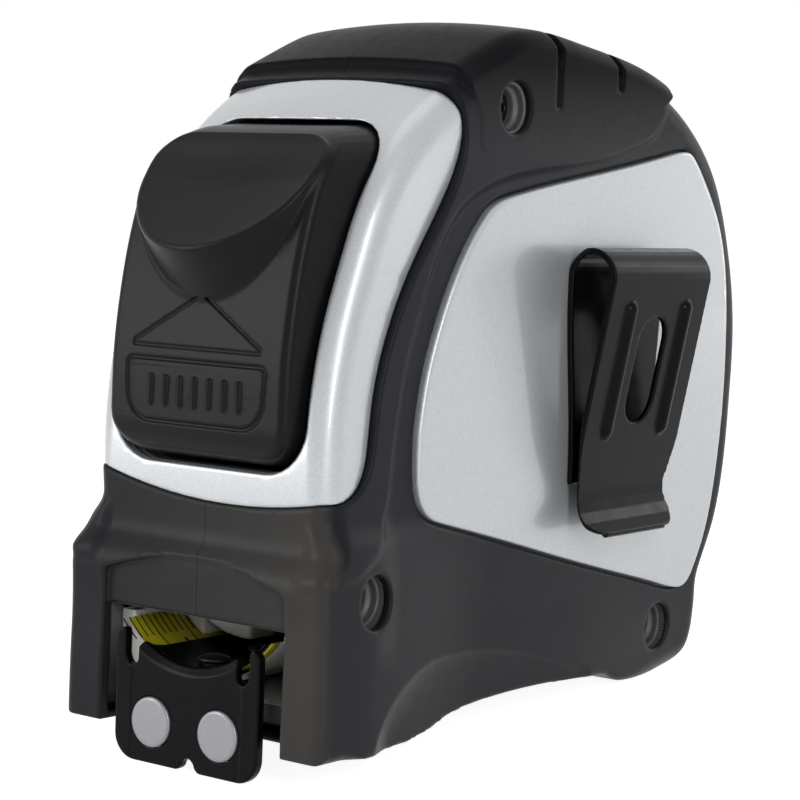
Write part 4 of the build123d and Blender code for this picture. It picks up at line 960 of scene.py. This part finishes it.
def scale_tree():
    """Division marks along one edge of the blade, every fifth and tenth longer."""
    tree, given = tree_with("Blade divisions", Count="Int", Pitch="Float", First="Float", Edge="Float", Short="Float",
                            Middle="Float", Long="Float", Thick="Float", Side="Float", Radius="Float", Centre="Float")
    line = add(tree, "GeometryNodeMeshLine", {"Count": given["Count"]})
    number = math_node(tree, "ADD", add(tree, "GeometryNodeInputIndex").outputs[0], 1.0)
    along = math_node(tree, "ADD", given["First"], math_node(tree, "MULTIPLY", number, given["Pitch"]))
    spot = add(tree, "ShaderNodeCombineXYZ", {1: along})
    points = add(tree, "GeometryNodeSetPosition", {"Geometry": line.outputs[0], "Position": spot.outputs[0]})
    length = given["Short"]
    for every, before, after in ((5.0, "Short", "Middle"), (10.0, "Middle", "Long")):
        chosen = math_node(tree, "COMPARE", math_node(tree, "MODULO", number, every), 0.0, 0.1)
        more = math_node(tree, "SUBTRACT", given[after], given[before])
        length = math_node(tree, "ADD", length, math_node(tree, "MULTIPLY", chosen, more))
    size = add(tree, "ShaderNodeCombineXYZ", {0: length, 1: given["Thick"]}, Z=0.00003)
    mark = add(tree, "GeometryNodeMeshCube", Vertices_X=6, Size=(1.0, 1.0, 1.0))
    spread = add(tree, "GeometryNodeInstanceOnPoints", {"Points": points.outputs[0], "Instance": mark.outputs[0],
                                                       "Scale": size.outputs[0]})
    middle = math_node(tree, "SUBTRACT", given["Edge"], math_node(tree, "MULTIPLY", length, 0.5))
    aside = add(tree, "ShaderNodeCombineXYZ", {0: math_node(tree, "MULTIPLY", middle, given["Side"])})
    moved = add(tree, "GeometryNodeTranslateInstances", {"Instances": spread.outputs[0],
                                                        "Translation": aside.outputs[0]}, Local_Space=False)
    real = add(tree, "GeometryNodeRealizeInstances", {"Geometry": moved.outputs[0]})
    return painted(tree, cupped(tree, real.outputs[0], given["Radius"], given["Centre"]), given["Finish"])


def numeral_tree(count):
    """Numbers at every tenth mark, laid flat beside it and bent onto the blade."""
    tree, given = tree_with("Blade numerals", Pitch="Float", First="Float", Edge="Float", Height="Float",
                            Radius="Float", Centre="Float")
    join = add(tree, "GeometryNodeJoinGeometry")
    for number in range(1, count + 1):
        text = add(tree, "GeometryNodeStringToCurves", {"Size": given["Height"]}, String=str(number))
        text.align_x = "RIGHT"
        flat = add(tree, "GeometryNodeRealizeInstances", {"Geometry": text.outputs[0]})
        filled = add(tree, "GeometryNodeFillCurve", {"Curve": flat.outputs[0]}, mode="TRIANGLES")
        along = math_node(tree, "MULTIPLY_ADD", given["Pitch"], 10.0 * number, given["First"])
        spot = add(tree, "ShaderNodeCombineXYZ", {0: given["Edge"], 1: math_node(tree, "SUBTRACT", along, 0.0005)})
        moved = add(tree, "GeometryNodeTransform", {"Geometry": filled.outputs[0], "Translation": spot.outputs[0]},
                    Rotation=(0.0, 0.0, math.pi / 2))
        tree.links.new(moved.outputs[0], join.inputs[0])
    fine = add(tree, "GeometryNodeSubdivideMesh", {"Mesh": join.outputs[0]}, Level=2)
    body = add(tree, "GeometryNodeExtrudeMesh", {"Mesh": fine.outputs[0]}, Offset_Scale=0.00002, Individual=False)
    closed = add(tree, "GeometryNodeFlipFaces", {"Mesh": fine.outputs[0]})
    whole = add(tree, "GeometryNodeJoinGeometry")
    tree.links.new(body.outputs[0], whole.inputs[0])
    tree.links.new(closed.outputs[0], whole.inputs[0])
    welded = add(tree, "GeometryNodeMergeByDistance", {"Geometry": whole.outputs[0]}, Distance=0.000001)
    return painted(tree, cupped(tree, welded.outputs[0], given["Radius"], given["Centre"]), given["Finish"])


# ---- What a user sets ----
def length(title, text, millimetres):
    """A length that a user sets."""
    return bpy.props.FloatProperty(name=title, description=text, default=millimetres * MM, min=0.0, precision=5,
                                   unit="LENGTH")


def colour(title, text, code):
    """A colour that a user sets."""
    return bpy.props.FloatVectorProperty(name=title, description=text, default=linear(code)[:3], size=3, min=0.0,
                                         max=1.0, subtype="COLOR")


class TapeSizes(bpy.types.PropertyGroup):
    """Sizes of the finished pieces."""
    body_cell: length("Body mesh", "Edge length of the mesh on the skin, bezel and panels", 0.36)
    small_cell: length("Small mesh", "Edge length of the mesh on the button, hook and clip", 0.2)
    division: length("Division", "Distance between two marks of the blade's scale", 1.0)
    mark: length("Mark width", "Width of a mark of the blade's scale", 0.22)
    short_mark: length("Short mark", "Length of a mark", 2.2)
    middle_mark: length("Middle mark", "Length of every fifth mark", 3.6)
    long_mark: length("Long mark", "Length of every tenth mark", 6.0)
    numeral: length("Numeral", "Height of the numbers on the blade", 4.6)
    marks: bpy.props.IntProperty(name="Marks", description="Number of marks on the straight blade", default=66, min=1,
                                 max=200)


class TapeColours(bpy.types.PropertyGroup):
    """Colours of the finished pieces."""
    rubber: colour("Rubber", "Colour of the soft-touch skin", "212226")
    lacquer: colour("Lacquer", "Colour of the bezel and panels", "C9CDD0")
    button: colour("Button", "Colour of the release button", "131315")
    coat: colour("Black coat", "Colour of the hook and the clip", "070709")
    blade: colour("Blade", "Colour of the blade", "B8AE1E")
    nylon: colour("Nylon", "Colour of the blade guide", "DEDEDA")


FINE = 0.8              # mesh sizes as shares of those that a user sets
BEZEL_FINE = 0.65
GUIDE_COARSE = 1.4
SCREW_CELL = 0.22       # and two that are set here, in millimetres
SHADE_BLOCK_CELL = 0.3


def cells():
    """Mesh sizes on the body and on the small pieces, in millimetres."""
    setting = bpy.context.scene.tape_sizes
    return setting.body_cell / MM, setting.small_cell / MM


def dress(node, name):
    """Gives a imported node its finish."""
    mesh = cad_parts[node].data
    for i in range(len(mesh.materials)):
        mesh.materials[i] = finish(name)


def placed(piece, body, slot, *nodes):
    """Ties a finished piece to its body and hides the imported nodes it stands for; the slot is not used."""
    if not piece.data.polygons:
        raise RuntimeError(f"{piece.name} came out empty")
    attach(piece, body)
    if nodes:
        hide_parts(*nodes)


def cast(node, name, field, cell, material_name, body, slot, keep=1.0):
    """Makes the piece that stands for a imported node, within that node's box."""
    piece = solid(name, field, *node_box(node), cell, finish(material_name), keep=keep)
    placed(piece, body, slot, node)


class TAPE_OT_skin(bpy.types.Operator):
    """Moulds both halves of the soft-touch skin"""
    bl_idname = "tape.skin"
    bl_label = "Soft-touch skin"

    def execute(self, context):
        for side, name in ((1, "right"), (-1, "left")):
            low, high = node_box("overmould_" + name)
            low[0], high[0] = min(low[0], -1.0 * side), max(high[0], -1.0 * side)
            piece = solid("skin_" + name, skin_field(side), low, high, cells()[0], finish(RUBBER),
                          split=(SEAM * side, side), keep=0.55, hidden=lambda x, y, z: shell_form(x, y, z, -1.3) < 0)
            placed(piece, "case", "overmould", "overmould_" + name)
        return {"FINISHED"}


class TAPE_OT_bezel(bpy.types.Operator):
    """Moulds the silver bezel around the button"""
    bl_idname = "tape.bezel"
    bl_label = "Bezel"

    def execute(self, context):
        cast("front_bezel", "bezel_shell", bezel_field, cells()[0] * BEZEL_FINE, "sprayed_silver_lacquer", "case",
             "silver_shell", keep=0.5)
        return {"FINISHED"}


class TAPE_OT_panels(bpy.types.Operator):
    """Moulds the silver panels of both sides"""
    bl_idname = "tape.panels"
    bl_label = "Side panels"

    def execute(self, context):
        for name, side in (("right", 1), ("left", -1)):
            cast("side_panel_" + name, "panel_" + name, lambda x, y, z: panel_field(x * side, y, z), cells()[0],
                 "sprayed_silver_lacquer", "case", "silver_shell", keep=0.5)
        return {"FINISHED"}


class TAPE_OT_button(bpy.types.Operator):
    """Moulds the release button with its thumb pad"""
    bl_idname = "tape.button"
    bl_label = "Release button"

    def execute(self, context):
        cast("release_button", "button_cap", button_field, cells()[1] * FINE, "spark_textured_ABS", "button",
             "button", keep=0.45)
        return {"FINISHED"}


class TAPE_OT_hook(bpy.types.Operator):
    """Presses the hook, with its magnets and rivets"""
    bl_idname = "tape.hook"
    bl_label = "Hook, magnets and rivets"

    def execute(self, context):
        cell = cells()[1] * FINE
        cast("hook", "hook_plate", hook_field, cell, "baked_black_coated_steel", "hook", "black_steel")
        cast("hook_magnets", "hook_magnet_discs", magnet_field, cell, "nickel_plated_magnet", "hook", "magnet")
        steel = finish("black_oxide_steel")
        one = solid("rivet", rivet_field, (-2, -2, RIVET_FOOT - 0.01), (2, 2, RIVET_TOP), cell, steel)
        values = {f"Place {i + 1}": (0.0, at * MM, 0.0) for i, at in enumerate(RIVETS)}
        piece = laid_out("hook_rivet_heads", spread_tree("Rivets", len(RIVETS)), {**values, "Finish": steel}, one)
        placed(piece, "blade", "dark_screw", "hook_rivets")
        return {"FINISHED"}


class TAPE_OT_blade(bpy.types.Operator):
    """Prints the scale on the blade"""
    bl_idname = "tape.blade"
    bl_label = "Blade scale"

    def execute(self, context):
        setting = context.scene.tape_sizes
        dress("blade_tongue", "yellow_lacquered_steel")
        dress("blade_coil", "yellow_lacquered_steel")
        shared = {"Pitch": setting.division, "First": HOOK_FACE * MM, "Radius": (CUP_RADIUS - BLADE_THICK) * MM,
                  "Centre": CUP_Z * MM, "Finish": finish("black_scale_ink")}
        marks = {"Count": setting.marks, "Edge": BLADE_HALF * MM, "Short": setting.short_mark,
                 "Middle": setting.middle_mark, "Long": setting.long_mark, "Thick": setting.mark}
        for side, name in ((-1.0, "left"), (1.0, "right")):
            placed(laid_out("scale_" + name, scale_tree(), {**shared, **marks, "Side": side}), "blade", "blade")
        numerals = {"Edge": NUMERAL_EDGE * MM, "Height": setting.numeral}
        placed(laid_out("scale_numerals", numeral_tree(NUMERALS), {**shared, **numerals}), "blade", "blade")
        return {"FINISHED"}


class TAPE_OT_clip(bpy.types.Operator):
    """Bends the belt clip and sets its screw"""
    bl_idname = "tape.clip"
    bl_label = "Belt clip"

    def execute(self, context):
        steel = "baked_black_coated_steel"
        cast("belt_clip", "clip_spring", clip_field, cells()[1], steel, "case", "black_steel")
        cast("clip_screw", "clip_screw_head", clip_screw_field, cells()[1] * FINE, steel, "case", "black_steel")
        return {"FINISHED"}


class TAPE_OT_guide(bpy.types.Operator):
    """Moulds the nylon guide in the mouth, and the dark block of painted shade behind it"""
    bl_idname = "tape.guide"
    bl_label = "Blade guide"

    def execute(self, context):
        cast("mouth_guide", "guide_saddle", guide_field, cells()[1] * GUIDE_COARSE, "moulded_white_nylon", "case",
             "nylon")
        # Painted shade: a dark rubber block where the mouth lies in shade.
        placed(solid("mouth_shade_block", baffle_field, *SHADE_BLOCK, SHADE_BLOCK_CELL, finish(RUBBER)), "case", "rubber_stop")
        return {"FINISHED"}


class TAPE_OT_screws(bpy.types.Operator):
    """Sets the case screws in their seats"""
    bl_idname = "tape.screws"
    bl_label = "Case screws"

    def execute(self, context):
        values = {f"Place {i + 1}": (out * MM, y * MM, z * MM)
                  for i, (out, (y, z)) in enumerate(zip(SCREW_RAISED, SCREWS))}
        for name, field, low, high, finish_name, slot, nodes in (
                ("screws_in_case", screw_field, (-9.0, -2.8, -2.8), (SCREW_HEAD_X, 2.8, 2.8), "black_oxide_steel",
                 "dark_screw", ["case_screws"]),
                ("seat_sleeves", seat_field, (SCREW_HEAD_X - 1.5, -3.5, -3.5), (SCREW_HEAD_X + 2.0, 3.5, 3.5),
                 "moulded_grey_ABS", "case", [])):
            one = solid(name + "_one", field, low, high, SCREW_CELL, finish(finish_name))
            tree = spread_tree(name, len(SCREWS))
            placed(laid_out(name, tree, {**values, "Finish": finish(finish_name)}, one), "case", slot, *nodes)
        return {"FINISHED"}


INSIDE = {
    "moulded_grey_ABS": ("case_right", "case_left", "brake_lever"),
    "spark_textured_ABS": ("reel", "brake_pad", "hook_bumper"),
    "drawn_spring_steel": ("button_pivot_pin", "brake_pivot_pin", "hub_post", "mainspring", "button_spring",
                           "brake_spring"),
}


class TAPE_OT_inside(bpy.types.Operator):
    """Gives the pieces inside the case their finishes"""
    bl_idname = "tape.inside"
    bl_label = "Inner pieces"

    def execute(self, context):
        for finish_name, nodes in INSIDE.items():
            for node in nodes:
                dress(node, finish_name)
        return {"FINISHED"}


# ---- Stage: metres ----
FLOOR_RISE = 3.5 / 79.0     # the tape rests on its hook and its rear foot
FLOOR_DROP = 3.55 * MM
FLOOR_REACH = 3.0
LAMPS = (       # name, place, what it looks at, size and watts
    ("front_left_softbox", (-0.42, -0.50, 0.20), (0.0, 0.02, 0.04), (0.17, 0.46), 1.6),
    ("front_right_softbox", (0.50, -0.30, 0.26), (0.0, 0.02, 0.04), (0.06, 0.46), 1.35),
    ("top_softbox", (-0.02, 0.06, 0.62), (0.0, 0.05, 0.04), (0.4, 0.3), 0.25),
    ("rear_right_softbox", (0.24, 0.62, 0.22), (0.0, 0.04, 0.04), (0.05, 0.4), 0.4),
)
CAMERA_PLACE = (180.7467 * MM, -201.7306 * MM, 63.0651 * MM)
CAMERA_RIGHT = (0.79864, 0.60182, 0.0)
CAMERA_UP = (-0.05141, 0.06822, 0.99635)
CAMERA_BACK = (0.59962, -0.79572, 0.08542)
CAMERA_ROLL = 2.1           # degrees
CAMERA_LENS = 108.0


def white_to_eye(tree, low, high):
    """A level that is high where the camera, a gloss or a glass looks, and low for other light."""
    path = add(tree, "ShaderNodeLightPath").outputs
    seen = math_node(tree, "MAXIMUM", path["Is Camera Ray"], path["Is Glossy Ray"])
    seen = math_node(tree, "MAXIMUM", seen, path["Is Transmission Ray"])
    return math_node(tree, "MULTIPLY_ADD", seen, high - low, low)


def softbox(name, place, target, size, power):
    """A rectangular lamp that looks at a target."""
    lamp = bpy.data.lights.new(name, "AREA")
    lamp.shape = "RECTANGLE"
    lamp.size, lamp.size_y = size
    lamp.energy = power
    holder = bpy.data.objects.new(name, lamp)
    bpy.context.scene.collection.objects.link(holder)
    holder.location = place
    holder.rotation_euler = (Vector(target) - Vector(place)).to_track_quat("-Z", "Y").to_euler()


def paper_floor():
    """The floor: matt white paper that shines towards the eye, so that it stays clean white."""
    corners = [(x * FLOOR_REACH, y * FLOOR_REACH) for x, y in ((-1, -1), (1, -1), (1, 1), (-1, 1))]
    mesh = bpy.data.meshes.new("floor")
    mesh.from_pydata([(x, y, FLOOR_RISE * y - FLOOR_DROP) for x, y in corners], [], [(0, 1, 2, 3)])
    floor = bpy.data.objects.new("floor", mesh)
    bpy.context.scene.collection.objects.link(floor)
    made, tree, shader, _ = material("matt_white_paper", "F4F4F4", 0.9, Specular_IOR_Level=0.1,
                                     Emission_Color=(1, 1, 1, 1))
    tree.links.new(white_to_eye(tree, 0.0, 0.9), shader.inputs["Emission Strength"])
    mesh.materials.append(made)


def camera():
    """The camera, turned by its roll about the way it looks."""
    right, up, roll = Vector(CAMERA_RIGHT), Vector(CAMERA_UP), math.radians(CAMERA_ROLL)
    across = right * math.cos(roll) + up * math.sin(roll)
    above = up * math.cos(roll) - right * math.sin(roll)
    lens = bpy.data.cameras.new("camera")
    lens.lens, lens.sensor_width, lens.clip_start = CAMERA_LENS, 36.0, 0.01
    holder = bpy.data.objects.new("camera", lens)
    bpy.context.scene.collection.objects.link(holder)
    turned = Matrix((across, above, Vector(CAMERA_BACK))).transposed().to_4x4()
    holder.matrix_world = Matrix.Translation(CAMERA_PLACE) @ turned
    return holder


class TAPE_OT_stage(bpy.types.Operator):
    """Sets up the floor, the lamps and the camera"""
    bl_idname = "tape.stage"
    bl_label = "Stage"

    def execute(self, context):
        paper_floor()
        world = bpy.data.worlds.new("studio")
        context.scene.world = world
        world.use_nodes = True
        back = world.node_tree.nodes["Background"]
        back.inputs["Color"].default_value = (1, 1, 1, 1)
        world.node_tree.links.new(white_to_eye(world.node_tree, 0.17, 1.0), back.inputs["Strength"])
        for lamp in LAMPS:
            softbox(*lamp)
        context.scene.camera = camera()
        context.scene.view_settings.view_transform = "Standard"
        return {"FINISHED"}


OPERATORS = (TAPE_OT_inside, TAPE_OT_skin, TAPE_OT_bezel, TAPE_OT_panels, TAPE_OT_button, TAPE_OT_hook,
             TAPE_OT_blade, TAPE_OT_clip, TAPE_OT_guide, TAPE_OT_screws, TAPE_OT_stage)


class TAPE_PT_pieces(bpy.types.Panel):
    """Sizes, colours and pieces of the tape measure"""
    bl_idname = "TAPE_PT_pieces"
    bl_label = "Tape measure"
    bl_space_type = "VIEW_3D"
    bl_region_type = "UI"
    bl_category = "Tape measure"

    def draw(self, context):
        for group in (context.scene.tape_sizes, context.scene.tape_colours):
            box = self.layout.box()
            for key in group.__annotations__:
                box.prop(group, key)
        for maker in OPERATORS:
            self.layout.operator(maker.bl_idname)


CLASSES = (TapeSizes, TapeColours, *OPERATORS, TAPE_PT_pieces)


def register():
    for each in CLASSES:
        bpy.utils.register_class(each)
    bpy.types.Scene.tape_sizes = bpy.props.PointerProperty(type=TapeSizes)
    bpy.types.Scene.tape_colours = bpy.props.PointerProperty(type=TapeColours)


def unregister():
    del bpy.types.Scene.tape_colours
    del bpy.types.Scene.tape_sizes
    for each in reversed(CLASSES):
        bpy.utils.unregister_class(each)


def main():
    register()
    for maker in OPERATORS:
        group, name = maker.bl_idname.split(".")
        getattr(getattr(bpy.ops, group), name)()


if __name__ == "__main__":
    main()
